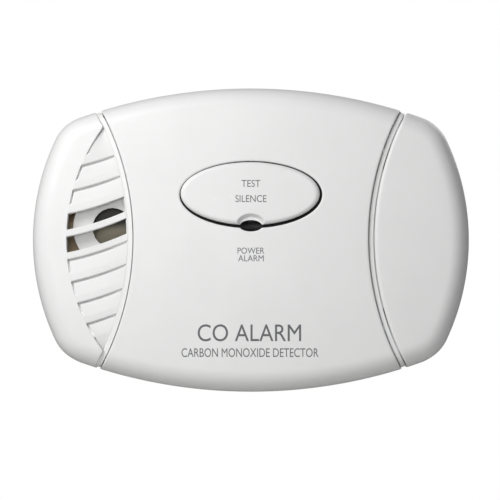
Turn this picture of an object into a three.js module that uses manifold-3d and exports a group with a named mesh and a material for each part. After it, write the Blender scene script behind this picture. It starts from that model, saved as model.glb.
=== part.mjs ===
// A wall-hung, battery-powered carbon monoxide alarm, in millimetres.
// X runs to the right, Z up, and Y from the front of the alarm (negative) to the wall at y = 0.
// The case is a barrel-shaped box: a front cover with a louvred left wing, a face panel over its
// middle, a battery door that slides off to the right, and a rear housing that hangs on a bracket.
import * as THREE from "three";
import { mergeVertices } from "three/addons/utils/BufferGeometryUtils.js";
import Module from "manifold-3d";

const wasm = await Module();
wasm.setup();

// ---------- driving dimensions ----------
const WIDTH = 144; // across the bulged sides
const HEIGHT = 100; // across the bulged top and bottom
const DEPTH = 38; // wall to the middle of the front
const SIDE_RADIUS = 78; // bulge of the left and right sides
const TOP_RADIUS = 170; // bulge of the top and bottom
const CORNER_RADIUS = 14;
const EDGE_RADIUS = 6; // rounding between the front and the side walls
const CROWN = 1.8; // how far the front falls back at the middle of each side
const WALL = 2; // moulded walls
const GAP = 0.3; // between pieces that meet
const PARTING = 14; // wall to the joint between rear housing and front cover

// Seams beside the face panel: arcs that bulge towards the middle, each with a channel beside it.
const SEAM_APEX = 38.8;
const SEAM_RADIUS = 90;
const CHANNEL_DEPTH = 1.2;
const CHANNEL_FLOOR = 1.5; // from a seam to the louvred field
const CHANNEL_WIDTH = 1.9; // from a seam to the foot of a wing
const PANEL_THICKNESS = 1.8;
const PANEL_SKIRT = 27; // wall to the rear edge of the face panel

// Louvres in the left wing: ribs on parallel arcs inside a lens-shaped field.
const LENS_APEX = 60.8;
const LENS_RADIUS = 62.7;
const RIB_PITCH = 7.52;
const RIB_WIDTH = 2.3;
const RIB_RADIUS = 89;
const RIB_CENTRE_X = -77.8; // the arcs' common centre line
const RIB_LEVEL = 3.5; // height of the middle rib's lower edge where it crosses RIB_CROSSING_X
const RIB_CROSSING_X = -49.7;
const RIBS_ABOVE = 3; // above the middle rib
const RIBS_BELOW = 4;
const FIELD_DEPTH = 2.2; // under a rib, at the left
const OPEN_FIELDS = [0, 1]; // the fields just above and just below the middle rib are open

// Test button: an oval cap in an oval hole, with the indicator hole at its lower edge.
const HOLE_HALF_WIDTH = 23.5;
const HOLE_HALF_HEIGHT = 11.1;
const HOLE_CENTRE_Z = 14.5;
const BUTTON_GAP_TIGHT = 0.35; // at the left and at the top
const BUTTON_GAP_WIDE = 1.1; // at the right and at the bottom
const BUTTON_PROUD = 0.6;
const BUTTON_THICKNESS = 2.2;
const BUTTON_FLANGE = 1.2; // how far the flange reaches past the hole, and its thickness
const BUTTON_TRAVEL = 1.1;
const INDICATOR_HALF_WIDTH = 3.8;
const INDICATOR_HALF_HEIGHT = 1.85;
const INDICATOR_Z = 4.2;

// Circuit board and what stands on it.
const BOARD_FRONT = 19; // wall to the board's front face
const BOARD_THICKNESS = 1.6;
const BOARD_HALF_HEIGHT = 34;
const BOARD_BAY_GAP = 2.4; // between the board and the battery bay
const BOARD_LEFT = 65;
const BOARD_CHAMFER = 16;
const HORN_X = -45.7;
const HORN_Z = 3.8;
const HORN_RADIUS = 13;
const HORN_MOUTH_RADIUS = 6.6;
const HORN_HEIGHT = 12.6;
const HORN_WALL = 1.5;
const SENSOR_X = -44;
const SENSOR_Z = -22.5;
const SENSOR_RADIUS = 9.3;
const SENSOR_HEIGHT = 12;
const SWITCH_Z = 17;
const SWITCH_SIDE = 6;
const SWITCH_HEIGHT = 3.5;
const STEM_RADIUS = 1.7;
const STEM_HEIGHT = 3.5; // above the switch body
const STEM_TRAVEL = 0.35;
const LEG_X = 17;
const LEG_RADIUS = 1.5;

// Two AA cells side by side, upright.
const CELL_RADIUS = 7.25;
const CELL_LENGTH = 50.5;
const CELL_GAP = 0.5; // between the two cells
const CELL_OUTER_X = 54.5;
const CELL_DEPTH = 21; // wall to the cells' axes
const CONTACT_ROOM = 3.3; // between a cell's end and the bay's end wall

// Wall bracket, in a recess of the rear housing.
const BRACKET_WIDTH = 54;
const BRACKET_HEIGHT = 50;
const BRACKET_THICKNESS = 2.2;
const RECESS_DEPTH = 3.2;
const LIFT = 7; // how far the alarm lifts to come off its hooks
const HOOK_X = 19;
const HOOK_Z = 12;
const HOOK_WIDTH = 8;
const HOOK_POST = 2.6;
const HOOK_LIP = 5;
const REAR_INSET = 0.8; // the rear housing stands in from the front cover
const REAR_CLEAR = 0.6; // between the rear housing and the wall
const REAR_EDGE_RADIUS = 3;

// Screws.
const CASE_SCREW_RADIUS = 1.4;
const BOARD_SCREW_RADIUS = 1.05;
const SCREW_CLEAR = 0.35;
const BOSS_RADIUS = 3.2;

// Sampling.
const ROUND = 16; // facets round a small cylinder
const FACETS = { side: 4, corner: 3, top: 4, edge: 3, face: 2, seam: 10, rib: 5 };
const FAR = 30; // how far a cutter reaches past the case

// ---------- solids ----------
// A closed three.js geometry as a manifold-3d solid.
function solid(geometry) {
  const bare = (geometry.index ? geometry.toNonIndexed() : geometry).clone();
  bare.deleteAttribute("normal");
  bare.deleteAttribute("uv");
  const merged = mergeVertices(bare, 1e-4);
  const vertProperties = new Float32Array(merged.attributes.position.array);
  const triVerts = new Uint32Array(merged.index.array);
  return new wasm.Manifold(new wasm.Mesh({ numProp: 3, vertProperties, triVerts }));
}

// A box between two depths, given by its middle and size in X and Z.
function block(x, z, width, height, back, front) {
  const box = new THREE.BoxGeometry(width, front - back, height);
  box.translate(x, -(back + front) / 2, z);
  return solid(box);
}

// A cylinder along Y between two depths from the wall.
function rod(x, z, radius, back, front, facets = ROUND) {
  const cylinder = new THREE.CylinderGeometry(radius, radius, front - back, facets);
  cylinder.translate(x, -(back + front) / 2, z);
  return solid(cylinder);
}

// An outline in X and Z, extruded along Y between two depths from the wall.
function prism(outline, back, front) {
  const shape = outline instanceof THREE.Shape ? outline : new THREE.Shape(outline);
  const settings = { depth: front - back, bevelEnabled: false, curveSegments: ROUND / 2 };
  const geometry = new THREE.ExtrudeGeometry(shape, settings);
  geometry.rotateX(Math.PI / 2);
  geometry.translate(0, -back, 0);
  return solid(geometry);
}

// A solid through rings of equal length, listed from the wall forwards and running anticlockwise
// as seen from the front. Each end closes on a middle point.
function loft(rings, backMiddle, frontMiddle) {
  const count = rings[0].length;
  const positions = [];
  const triangle = (a, b, c) => positions.push(...a, ...b, ...c);
  for (let i = 0; i < count; i++) {
    const next = (i + 1) % count;
    triangle(rings[0][next], rings[0][i], backMiddle);
    triangle(rings.at(-1)[i], rings.at(-1)[next], frontMiddle);
    for (let k = 0; k + 1 < rings.length; k++) {
      triangle(rings[k][i], rings[k][next], rings[k + 1][next]);
      triangle(rings[k][i], rings[k + 1][next], rings[k + 1][i]);
    }
  }
  const geometry = new THREE.BufferGeometry();
  geometry.setAttribute("position", new THREE.Float32BufferAttribute(positions, 3));
  return solid(geometry);
}

// A solid through four-cornered sections, listed from left to right.
function strip(sections) {
  const positions = [];
  const quad = (a, b, c, d) => positions.push(...a, ...b, ...c, ...a, ...c, ...d);
  for (let i = 0; i + 1 < sections.length; i++) {
    for (let k = 0; k < 4; k++) {
      const next = (k + 1) % 4;
      quad(sections[i][k], sections[i][next], sections[i + 1][next], sections[i + 1][k]);
    }
  }
  const [first, last] = [sections[0], sections.at(-1)];
  quad(first[3], first[2], first[1], first[0]);
  quad(last[0], last[1], last[2], last[3]);
  const geometry = new THREE.BufferGeometry();
  geometry.setAttribute("position", new THREE.Float32BufferAttribute(positions, 3));
  return solid(geometry);
}

function turned(profile, facets = ROUND) {
  const points = profile.map(([radius, along]) => new THREE.Vector2(radius, along));
  return new THREE.LatheGeometry(points, facets);
}

// ---------- the case's outline and its shells ----------
// Each spot is a place on the outline: the centre and radius of its arc, and its normal.
function outlineSpots() {
  const sideCentre = new THREE.Vector2(WIDTH / 2 - SIDE_RADIUS, 0);
  const topCentre = new THREE.Vector2(0, HEIGHT / 2 - TOP_RADIUS);
  // The corner arc touches both bulges from inside, so its centre is where two circles cross.
  const fromSide = SIDE_RADIUS - CORNER_RADIUS;
  const fromTop = TOP_RADIUS - CORNER_RADIUS;
  const between = topCentre.clone().sub(sideCentre);
  const distance = between.length();
  const along = (fromSide ** 2 - fromTop ** 2 + distance ** 2) / (2 * distance);
  const across = Math.sqrt(fromSide ** 2 - along ** 2);
  const unit = between.normalize();
  const cornerCentre = sideCentre.clone().addScaledVector(unit, along);
  cornerCentre.add(new THREE.Vector2(-unit.y, unit.x).multiplyScalar(across));
  const sideEnd = cornerCentre.clone().sub(sideCentre).angle();
  const topEnd = cornerCentre.clone().sub(topCentre).angle();
  const quarter = [];
  const arc = (centre, radius, from, to, steps) => {
    for (let i = 0; i < steps; i++) {
      const angle = from + ((to - from) * i) / steps;
      quarter.push({ x: centre.x, z: centre.y, radius, nx: Math.cos(angle), nz: Math.sin(angle) });
    }
  };
  arc(sideCentre, SIDE_RADIUS, 0, sideEnd, FACETS.side);
  arc(cornerCentre, CORNER_RADIUS, sideEnd, topEnd, FACETS.corner);
  arc(topCentre, TOP_RADIUS, topEnd, Math.PI / 2, FACETS.top);
  const top = { x: 0, z: topCentre.y, radius: TOP_RADIUS, nx: 0, nz: 1 };
  const mirror = (spot, sx, sz) => {
    return { x: spot.x * sx, z: spot.z * sz, radius: spot.radius, nx: spot.nx * sx, nz: spot.nz * sz };
  };
  const right = [...quarter, top];
  const left = [...quarter].reverse().map((spot) => mirror(spot, -1, 1));
  const upper = [...right, ...left];
  const lower = upper.slice(1, -1).reverse().map((spot) => mirror(spot, 1, -1));
  return [...upper, ...lower];
}
const SPOTS = outlineSpots();

// The outline, drawn in from its edge by an inset.
function outline(inset) {
  return SPOTS.map((s) => [s.x + (s.radius - inset) * s.nx, s.z + (s.radius - inset) * s.nz]);
}
const outlineShape = (inset) => outline(inset).map(([x, z]) => new THREE.Vector2(x, z));

// Depth of the front surface, drawn in by an inset, away from the rounded edge.
function frontDepth(x, z, inset = 0) {
  return DEPTH - inset - CROWN * ((2 * x) ** 2 / WIDTH ** 2 + (2 * z) ** 2 / HEIGHT ** 2);
}

// The case's whole front as one solid, drawn in all round by an inset, from a depth forwards.
function frontBody(inset, back) {
  const radius = Math.max(EDGE_RADIUS - inset, 0.5);
  const rings = [outline(inset).map(([x, z]) => [x, -back, z])];
  for (let k = 0; k <= FACETS.edge; k++) {
    const angle = ((Math.PI / 2) * k) / FACETS.edge;
    const drop = radius * (1 - Math.sin(angle));
    const ring = outline(inset + radius * (1 - Math.cos(angle)));
    rings.push(ring.map(([x, z]) => [x, -(frontDepth(x, z, inset) - drop), z]));
  }
  const flat = outline(inset + radius);
  for (let k = 1; k < FACETS.face; k++) {
    const share = 1 - k / FACETS.face;
    rings.push(
      flat.map(([x, z]) => [x * share, -frontDepth(x * share, z * share, inset), z * share]),
    );
  }
  return loft(rings, [0, -back, 0], [0, -frontDepth(0, 0, inset), 0]);
}

// A shell of the front between two insets.
function frontShell(outer, inner) {
  return frontBody(outer, PARTING).subtract(frontBody(inner, PARTING - 1));
}

// ---------- seams ----------
// Distance of a seam from the middle at a height, moved outwards by an offset.
function seamX(z, offset = 0) {
  return SEAM_APEX + SEAM_RADIUS - Math.sqrt((SEAM_RADIUS - offset) ** 2 - z ** 2);
}

// A seam as points from bottom to top, on one side (1 right, -1 left).
function seamLine(side, offset) {
  const reach = HEIGHT / 2 + 4;
  const points = [];
  for (let i = 0; i <= FACETS.seam; i++) {
    const z = reach * ((2 * i) / FACETS.seam - 1);
    points.push(new THREE.Vector2(side * seamX(z, offset), z));
  }
  return points;
}

// Everything outside a seam on one side.
function beyondSeam(side, offset) {
  const line = seamLine(side, offset);
  const far = side * (WIDTH / 2 + FAR);
  const corners = [new THREE.Vector2(far, line.at(-1).y), new THREE.Vector2(far, line[0].y)];
  return prism([...line, ...corners], -FAR, DEPTH + FAR);
}

// Everything between the two seams.
function betweenSeams(offset) {
  const points = [...seamLine(1, offset), ...seamLine(-1, offset).reverse()];
  return prism(points, -FAR, DEPTH + FAR);
}

function oval(x, z, halfWidth, halfHeight) {
  return new THREE.Shape().absellipse(x, z, halfWidth, halfHeight, 0, Math.PI * 2);
}

// ---------- the louvred field ----------
const DECK_OUTER = PANEL_THICKNESS + GAP;
const DECK_INNER = DECK_OUTER + WALL;

const lensLeftX = (z) => -LENS_APEX + LENS_RADIUS - Math.sqrt(LENS_RADIUS ** 2 - z ** 2);
const lensRightX = (z, shift = 0) => -seamX(z, CHANNEL_FLOOR - shift);

// Height at which the lens's two arcs meet.
function lensTip() {
  let low = 0;
  let high = LENS_RADIUS;
  for (let i = 0; i < 40; i++) {
    const middle = (low + high) / 2;
    if (lensLeftX(middle) < lensRightX(middle)) low = middle;
    else high = middle;
  }
  return low;
}

// The lens as a prism, grown to the left and along, and with its right edge shifted to the right.
function lensPrism(grow, shift, back, front) {
  const tip = lensTip();
  const left = [];
  const right = [];
  for (let i = 1; i < FACETS.seam; i++) {
    const z = tip * ((2 * i) / FACETS.seam - 1);
    left.push(new THREE.Vector2(lensLeftX(z) - grow, z));
    right.push(new THREE.Vector2(lensRightX(z, shift), z));
  }
  const tipX = lensRightX(tip, shift);
  const bottom = new THREE.Vector2(tipX, -tip - grow);
  const top = new THREE.Vector2(tipX, tip + grow);
  return prism([bottom, ...right, top, ...left.reverse()], back, front);
}

// Height of a rib's lower edge at x. Rib 0 is the middle one, and higher ribs have higher numbers.
function ribLine(x, rib) {
  const sag = (at) => Math.sqrt(RIB_RADIUS ** 2 - (at - RIB_CENTRE_X) ** 2);
  return RIB_LEVEL + rib * RIB_PITCH + sag(RIB_CROSSING_X) - sag(x);
}

// The recess below a rib: its floor is deepest under the rib's left end, and comes forward to the
// next rib and to the channel.
function fieldCutter(rib, open) {
  const from = -LENS_APEX - 2;
  const to = -SEAM_APEX;
  const steps = FACETS.rib;
  const front = DEPTH + 5;
  const sections = [];
  for (let i = 0; i <= steps; i++) {
    const x = from + ((to - from) * i) / steps;
    const top = ribLine(x, rib);
    const bottom = top - (RIB_PITCH - RIB_WIDTH);
    const crest = (CHANNEL_DEPTH * i) / steps + 0.35;
    const deepest = FIELD_DEPTH + ((CHANNEL_DEPTH + 0.6 - FIELD_DEPTH) * i) / steps;
    const topFloor = open ? PARTING + 2 : frontDepth(x, top) - deepest;
    const bottomFloor = open ? PARTING + 2 : frontDepth(x, bottom) - crest;
    sections.push([
      [x, -front, top],
      [x, -front, bottom],
      [x, -bottomFloor, bottom],
      [x, -topFloor, top],
    ]);
  }
  return strip(sections);
}

// Brings the ribs' crests down from the wing's surface at the left to the channel's floor.
function crestCutter() {
  const tip = lensTip();
  const steps = FACETS.seam;
  const sections = [];
  for (let i = 0; i <= steps; i++) {
    const z = tip * ((2 * i) / steps - 1);
    const left = Math.min(lensLeftX(z), lensRightX(z) - 0.05);
    const right = -seamX(z, CHANNEL_FLOOR - 0.4);
    sections.push([
      [left, -frontDepth(left, z), z],
      [left, -(DEPTH + 5), z],
      [right, -(DEPTH + 5), z],
      [right, -(frontDepth(right, z) - CHANNEL_DEPTH - 0.2), z],
    ]);
  }
  return strip(sections);
}

function cutLouvres(cover) {
  const lens = lensPrism(0, 0.25, 0, DEPTH + FAR);
  let cut = cover.subtract(crestCutter().intersect(lens));
  for (let rib = -RIBS_BELOW; rib <= RIBS_ABOVE + 1; rib++) {
    const open = OPEN_FIELDS.includes(rib);
    cut = cut.subtract(fieldCutter(rib, open).intersect(lens));
  }
  return cut;
}

// ---------- places shared by pieces ----------
const CELL_INNER_X = CELL_OUTER_X - 2 * CELL_RADIUS - CELL_GAP;
const BAY_HALF = CELL_LENGTH / 2 + CONTACT_ROOM; // half the bay's inner height
const BAY_WALL = 1.4;
const BAY_LEFT = CELL_INNER_X - CELL_RADIUS - 0.4; // inner face of the bay's left wall
const BOARD_RIGHT = BAY_LEFT - BAY_WALL - BOARD_BAY_GAP;
const caseScrewSpots = [-1, 1].flatMap((up) => [
  { x: -WIDTH / 2 + 15, z: up * (HEIGHT / 2 - 17) },
  { x: BOARD_RIGHT - 4, z: up * (HEIGHT / 2 - 11) },
]);
const boardScrewSpots = [
  { x: BOARD_RIGHT - 7, z: 28 },
  { x: BOARD_RIGHT - 7, z: -28 },
  { x: -26, z: 30 },
];
const panelPinSpots = [-1, 1].flatMap((up) => [
  { x: -33, z: up * 38 },
  { x: 33, z: up * 38 },
]);
const PIN_RADIUS = 1.2;
const BAY_FLOOR = CELL_DEPTH - CELL_RADIUS - 0.5; // wall to the bay's floor
const BAY_FRONT = CELL_DEPTH + CELL_RADIUS + 1.5; // wall to the bay walls' front edges
const BAY_OPENING_LEFT = SEAM_APEX + CHANNEL_WIDTH + 1; // left edge of the opening under the door
const REAR_FLOOR = RECESS_DEPTH + WALL; // wall to the inside of the recess's floor
const COUNTERBORE_DEPTH = 8;
const COUNTERBORE_RADIUS = 3;

// ---------- case pieces ----------
function makeFrontCover() {
  // The deck under the face panel and the door carries on as the floor of both channels.
  const channel = frontBody(CHANNEL_DEPTH, PARTING);
  const wing = frontBody(0, PARTING).intersect(beyondSeam(-1, CHANNEL_WIDTH));
  const leftChannel = channel.intersect(beyondSeam(-1, GAP / 2));
  const rightChannel = channel
    .intersect(beyondSeam(1, GAP / 2))
    .subtract(beyondSeam(1, CHANNEL_WIDTH - GAP));
  const behindSkirt = block(0, 0, 2 * WIDTH, 2 * HEIGHT, 0, PANEL_SKIRT - GAP);
  const band = frontBody(0, PARTING).intersect(betweenSeams(GAP)).intersect(behindSkirt);
  let cover = frontBody(DECK_OUTER, PARTING).add(leftChannel).add(wing).add(rightChannel).add(band);
  // The wing is a thin wall, and thicker behind the louvres.
  const wingHollow = frontBody(WALL, PARTING - 1)
    .intersect(beyondSeam(-1, CHANNEL_WIDTH + WALL))
    .subtract(lensPrism(1.6, 0, 0, DEPTH + FAR));
  cover = cover.subtract(frontBody(DECK_INNER, PARTING - 1)).subtract(wingHollow);
  const bayOpening = block(
    BAY_OPENING_LEFT + WIDTH / 2,
    0,
    WIDTH,
    2 * (BAY_HALF + BAY_WALL),
    0,
    DEPTH + FAR,
  );
  cover = cover.subtract(bayOpening.intersect(beyondSeam(1, CHANNEL_WIDTH - GAP)));
  const inside = frontBody(DECK_INNER - 0.5, PARTING);
  const insideWing = frontBody(WALL - 0.5, PARTING);
  for (const spot of caseScrewSpots) {
    const limit = spot.x < -SEAM_APEX ? insideWing : inside;
    cover = cover.add(rod(spot.x, spot.z, BOSS_RADIUS, PARTING, DEPTH).intersect(limit));
    cover = cover.subtract(
      rod(spot.x, spot.z, CASE_SCREW_RADIUS + SCREW_CLEAR, PARTING - 1, PARTING + 12),
    );
  }
  for (const spot of boardScrewSpots) {
    const foot = BOARD_FRONT + GAP;
    cover = cover.add(rod(spot.x, spot.z, BOSS_RADIUS - 0.4, foot, DEPTH).intersect(inside));
    cover = cover.subtract(
      rod(spot.x, spot.z, BOARD_SCREW_RADIUS + SCREW_CLEAR, foot - 1, foot + 9),
    );
  }
  for (const spot of panelPinSpots) {
    cover = cover.subtract(rod(spot.x, spot.z, PIN_RADIUS + GAP, PARTING, DEPTH));
  }
  const buttonOpening = oval(
    0,
    HOLE_CENTRE_Z,
    HOLE_HALF_WIDTH + BUTTON_FLANGE + 0.8,
    HOLE_HALF_HEIGHT + BUTTON_FLANGE + 0.8,
  );
  cover = cover.subtract(prism(buttonOpening, PARTING, DEPTH + FAR));
  return cutLouvres(cover);
}

function makeFacePanel() {
  const front = block(0, 0, 2 * WIDTH, 2 * HEIGHT, PANEL_SKIRT, DEPTH + FAR);
  let panel = frontShell(0, PANEL_THICKNESS).intersect(betweenSeams(-GAP / 2)).intersect(front);
  const hole = oval(0, HOLE_CENTRE_Z, HOLE_HALF_WIDTH, HOLE_HALF_HEIGHT);
  const indicator = oval(0, INDICATOR_Z, INDICATOR_HALF_WIDTH, INDICATOR_HALF_HEIGHT);
  panel = panel.subtract(prism(hole, PARTING + 5, DEPTH + FAR));
  panel = panel.subtract(prism(indicator, PARTING + 5, DEPTH + FAR));
  for (const spot of panelPinSpots) {
    const face = frontDepth(spot.x, spot.z);
    panel = panel.add(rod(spot.x, spot.z, PIN_RADIUS, face - DECK_INNER - 1.2, face - 0.6, 12));
  }
  return panel;
}

// The button's cap sits off the hole's middle, so that the gap is wide below and to the right.
const BUTTON_X = (BUTTON_GAP_TIGHT - BUTTON_GAP_WIDE) / 2 / 1.5;
const BUTTON_Z = HOLE_CENTRE_Z + (BUTTON_GAP_WIDE - BUTTON_GAP_TIGHT) / 2;
const BUTTON_HALF_WIDTH = HOLE_HALF_WIDTH - (BUTTON_GAP_TIGHT + BUTTON_GAP_WIDE) / 2 / 1.2;
const BUTTON_HALF_HEIGHT = HOLE_HALF_HEIGHT - (BUTTON_GAP_TIGHT + BUTTON_GAP_WIDE) / 2;
const FLANGE_FRONT = DEPTH - DECK_OUTER - 1;
const STEM_TIP = BOARD_FRONT + SWITCH_HEIGHT + STEM_HEIGHT;

function makeTestButton() {
  const edge = 0.7;
  const back = FLANGE_FRONT - BUTTON_FLANGE;
  const cap = oval(BUTTON_X, BUTTON_Z, BUTTON_HALF_WIDTH, BUTTON_HALF_HEIGHT);
  const top = oval(BUTTON_X, BUTTON_Z, BUTTON_HALF_WIDTH - edge, BUTTON_HALF_HEIGHT - edge);
  const flange = oval(
    0,
    HOLE_CENTRE_Z,
    HOLE_HALF_WIDTH + BUTTON_FLANGE,
    HOLE_HALF_HEIGHT + BUTTON_FLANGE,
  );
  const hollow = oval(BUTTON_X, BUTTON_Z, BUTTON_HALF_WIDTH - 1.6, BUTTON_HALF_HEIGHT - 1.6);
  const upTo = (inset) => frontBody(inset, PARTING);
  let button = prism(cap, back, DEPTH + FAR).intersect(upTo(edge - BUTTON_PROUD));
  button = button.add(prism(top, DEPTH - 2, DEPTH + FAR).intersect(upTo(-BUTTON_PROUD)));
  button = button.add(prism(flange, back, FLANGE_FRONT));
  // The cap is a shell: it is hollow behind its face.
  const behindFace = upTo(BUTTON_THICKNESS - BUTTON_PROUD);
  button = button.subtract(prism(hollow, PARTING, DEPTH + FAR).intersect(behindFace));
  // The indicator shines through a notch in the lower edge, scooped wider at the front.
  const through = oval(0, INDICATOR_Z, INDICATOR_HALF_WIDTH, INDICATOR_HALF_HEIGHT + 0.2);
  const ring = (halfWidth, halfHeight, depth) => {
    const points = [];
    for (let i = 0; i < 2 * ROUND; i++) {
      const angle = (Math.PI * i) / ROUND;
      const z = INDICATOR_Z + halfHeight * Math.sin(angle);
      points.push([halfWidth * Math.cos(angle), -depth, z]);
    }
    return points;
  };
  const scoopBack = DEPTH - 1.2;
  const scoopFront = DEPTH + 1.2;
  const rings = [
    ring(INDICATOR_HALF_WIDTH, INDICATOR_HALF_HEIGHT, scoopBack),
    ring(INDICATOR_HALF_WIDTH + 1.3, INDICATOR_HALF_HEIGHT + 2.9, scoopFront),
  ];
  const scoop = loft(rings, [0, -scoopBack, INDICATOR_Z], [0, -scoopFront, INDICATOR_Z]);
  button = button.subtract(prism(through, PARTING, DEPTH + FAR)).subtract(scoop);
  const root = frontDepth(LEG_X, HOLE_CENTRE_Z, BUTTON_THICKNESS - BUTTON_PROUD) + 0.5;
  const legEnd = BOARD_FRONT - BOARD_THICKNESS - 1.5;
  for (const side of [-1, 1]) {
    button = button.add(rod(side * LEG_X, HOLE_CENTRE_Z, LEG_RADIUS, legEnd, root, 16));
  }
  const postEnd = STEM_TIP + BUTTON_TRAVEL - STEM_TRAVEL + 0.05;
  return button.add(rod(0, SWITCH_Z, STEM_RADIUS + 0.4, postEnd, root, 16));
}

function makeBatteryDoor() {
  let door = frontShell(0, PANEL_THICKNESS).intersect(beyondSeam(1, CHANNEL_WIDTH));
  // Two hooks reach in behind the edge of the front cover's battery opening.
  for (const up of [-1, 1]) {
    const z = up * 18;
    const ledge = frontDepth(BAY_OPENING_LEFT, z, DECK_INNER);
    const riser = seamX(Math.abs(z) + 4, CHANNEL_WIDTH) + 1.4;
    const skin = frontDepth(riser, z, PANEL_THICKNESS) + 0.6;
    door = door.add(block(riser, z, 2, 8, ledge - GAP - 1.4, skin));
    door = door.add(block(riser - 2.4, z, 5, 8, ledge - GAP - 1.4, ledge - GAP));
  }
  // Two fins hold the outer cell in place.
  const finLeft = CELL_OUTER_X + CELL_RADIUS + 0.6;
  for (const up of [-1, 1]) {
    const z = up * 12;
    const fin = block((finLeft + WIDTH / 2) / 2, z, WIDTH / 2 - finLeft, 1.6, PARTING + 2, 28);
    door = door.add(fin.intersect(frontBody(PANEL_THICKNESS - 0.6, PARTING)));
  }
  return door;
}

function makeRearHousing() {
  const rings = [];
  for (let k = 0; k <= 3; k++) {
    const angle = ((Math.PI / 2) * k) / 3;
    const inset = REAR_INSET + REAR_EDGE_RADIUS * (1 - Math.sin(angle));
    const depth = REAR_CLEAR + REAR_EDGE_RADIUS * (1 - Math.cos(angle));
    rings.push(outline(inset).map(([x, z]) => [x, -depth, z]));
  }
  const lip = PARTING - GAP;
  rings.push(outline(REAR_INSET).map(([x, z]) => [x, -lip, z]));
  let housing = loft(rings, [0, -REAR_CLEAR, 0], [0, -lip, 0]);
  const recessWidth = BRACKET_WIDTH + 2;
  const recessTop = BRACKET_HEIGHT / 2 + 1;
  const recessBottom = -BRACKET_HEIGHT / 2 - LIFT - 1;
  const recessMiddle = (recessTop + recessBottom) / 2;
  const recessHeight = recessTop - recessBottom;
  const cavity = prism(outlineShape(REAR_INSET + WALL), REAR_CLEAR + WALL, PARTING + 5);
  const floor = block(0, recessMiddle, recessWidth + 2 * WALL, recessHeight + 2 * WALL, 0, REAR_FLOOR);
  housing = housing.subtract(cavity.subtract(floor));
  housing = housing.subtract(block(0, recessMiddle, recessWidth, recessHeight, -1, RECESS_DEPTH));
  // Slots that the bracket's hooks reach through.
  for (const side of [-1, 1]) {
    for (const up of [-1, 1]) {
      const post = up * HOOK_Z;
      const slotTop = post + HOOK_POST / 2 + GAP;
      const slotBottom = post - HOOK_POST / 2 - LIFT - 0.8;
      const height = slotTop - slotBottom;
      const middle = (slotTop + slotBottom) / 2;
      housing = housing.subtract(
        block(side * HOOK_X, middle, HOOK_WIDTH + 1, height, -1, REAR_FLOOR + 2),
      );
    }
  }
  housing = housing.add(makeBatteryBay());
  for (const spot of caseScrewSpots) {
    housing = housing.add(rod(spot.x, spot.z, BOSS_RADIUS + 0.5, REAR_CLEAR + 0.5, lip));
    housing = housing.subtract(
      rod(spot.x, spot.z, CASE_SCREW_RADIUS + SCREW_CLEAR, -1, lip + 1),
    );
    housing = housing.subtract(rod(spot.x, spot.z, COUNTERBORE_RADIUS, -1, COUNTERBORE_DEPTH));
  }
  // Breathing slots in the left side wall.
  for (let i = -3; i <= 3; i++) {
    housing = housing.subtract(block(-WIDTH / 2, i * 5, 14, 1.6, 5.5, 11.5));
  }
  return housing;
}

// The battery bay: a floor and three walls that stand in the rear housing, open to the right.
function makeBatteryBay() {
  const right = CELL_OUTER_X + CELL_RADIUS + 0.6;
  const left = BAY_LEFT - BAY_WALL;
  const middle = (left + right) / 2;
  const back = REAR_CLEAR + WALL - 0.5;
  let bay = block(middle, 0, right - left, 2 * BAY_HALF + 2 * BAY_WALL, back, BAY_FRONT);
  const hollow = block(
    BAY_LEFT + FAR,
    0,
    2 * FAR,
    2 * BAY_HALF,
    BAY_FLOOR,
    DEPTH,
  );
  const under = block(
    (left + right) / 2 - 2,
    0,
    right - left,
    2 * BAY_HALF,
    back - 1,
    BAY_FLOOR - BAY_WALL,
  );
  bay = bay.subtract(hollow).subtract(under);
  // Notches in the upper wall let the two terminals' tabs through.
  for (const x of [CELL_INNER_X, CELL_OUTER_X]) {
    bay = bay.subtract(block(x, BAY_HALF + BAY_WALL / 2, 3.4, BAY_WALL + 1, CELL_DEPTH + 3.5, DEPTH));
  }
  const inside = prism(outlineShape(REAR_INSET + 0.5), -1, PARTING - GAP);
  const above = prism(outlineShape(DECK_INNER + GAP), PARTING - GAP - 0.1, DEPTH);
  return bay.intersect(inside.add(above));
}

function makeWallBracket() {
  const round = 4;
  const [halfWidth, halfHeight] = [BRACKET_WIDTH / 2, BRACKET_HEIGHT / 2];
  const plate = new THREE.Shape();
  plate.moveTo(halfWidth, -halfHeight + round);
  plate.lineTo(halfWidth, halfHeight - round);
  plate.absarc(halfWidth - round, halfHeight - round, round, 0, Math.PI / 2);
  plate.absarc(-halfWidth + round, halfHeight - round, round, Math.PI / 2, Math.PI);
  plate.absarc(-halfWidth + round, -halfHeight + round, round, Math.PI, Math.PI * 1.5);
  plate.absarc(halfWidth - round, -halfHeight + round, round, Math.PI * 1.5, Math.PI * 2);
  const slotHalf = 2.25;
  const slotReach = 2.5;
  for (const z of [-halfHeight + 7, halfHeight - 7]) {
    const slot = new THREE.Path();
    slot.absarc(slotReach, z, slotHalf, -Math.PI / 2, Math.PI / 2);
    slot.absarc(-slotReach, z, slotHalf, Math.PI / 2, Math.PI * 1.5);
    plate.holes.push(slot);
  }
  let bracket = prism(plate, 0, BRACKET_THICKNESS);
  const lipBack = REAR_FLOOR + GAP;
  const lipFront = lipBack + 1.8;
  for (const side of [-1, 1]) {
    for (const up of [-1, 1]) {
      const [x, z] = [side * HOOK_X, up * HOOK_Z];
      bracket = bracket.add(block(x, z, HOOK_WIDTH, HOOK_POST, BRACKET_THICKNESS - 0.5, lipFront));
      const lip = HOOK_LIP + HOOK_POST / 2;
      bracket = bracket.add(block(x, z + lip / 2, HOOK_WIDTH, lip, lipBack, lipFront));
    }
  }
  return bracket;
}

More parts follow.
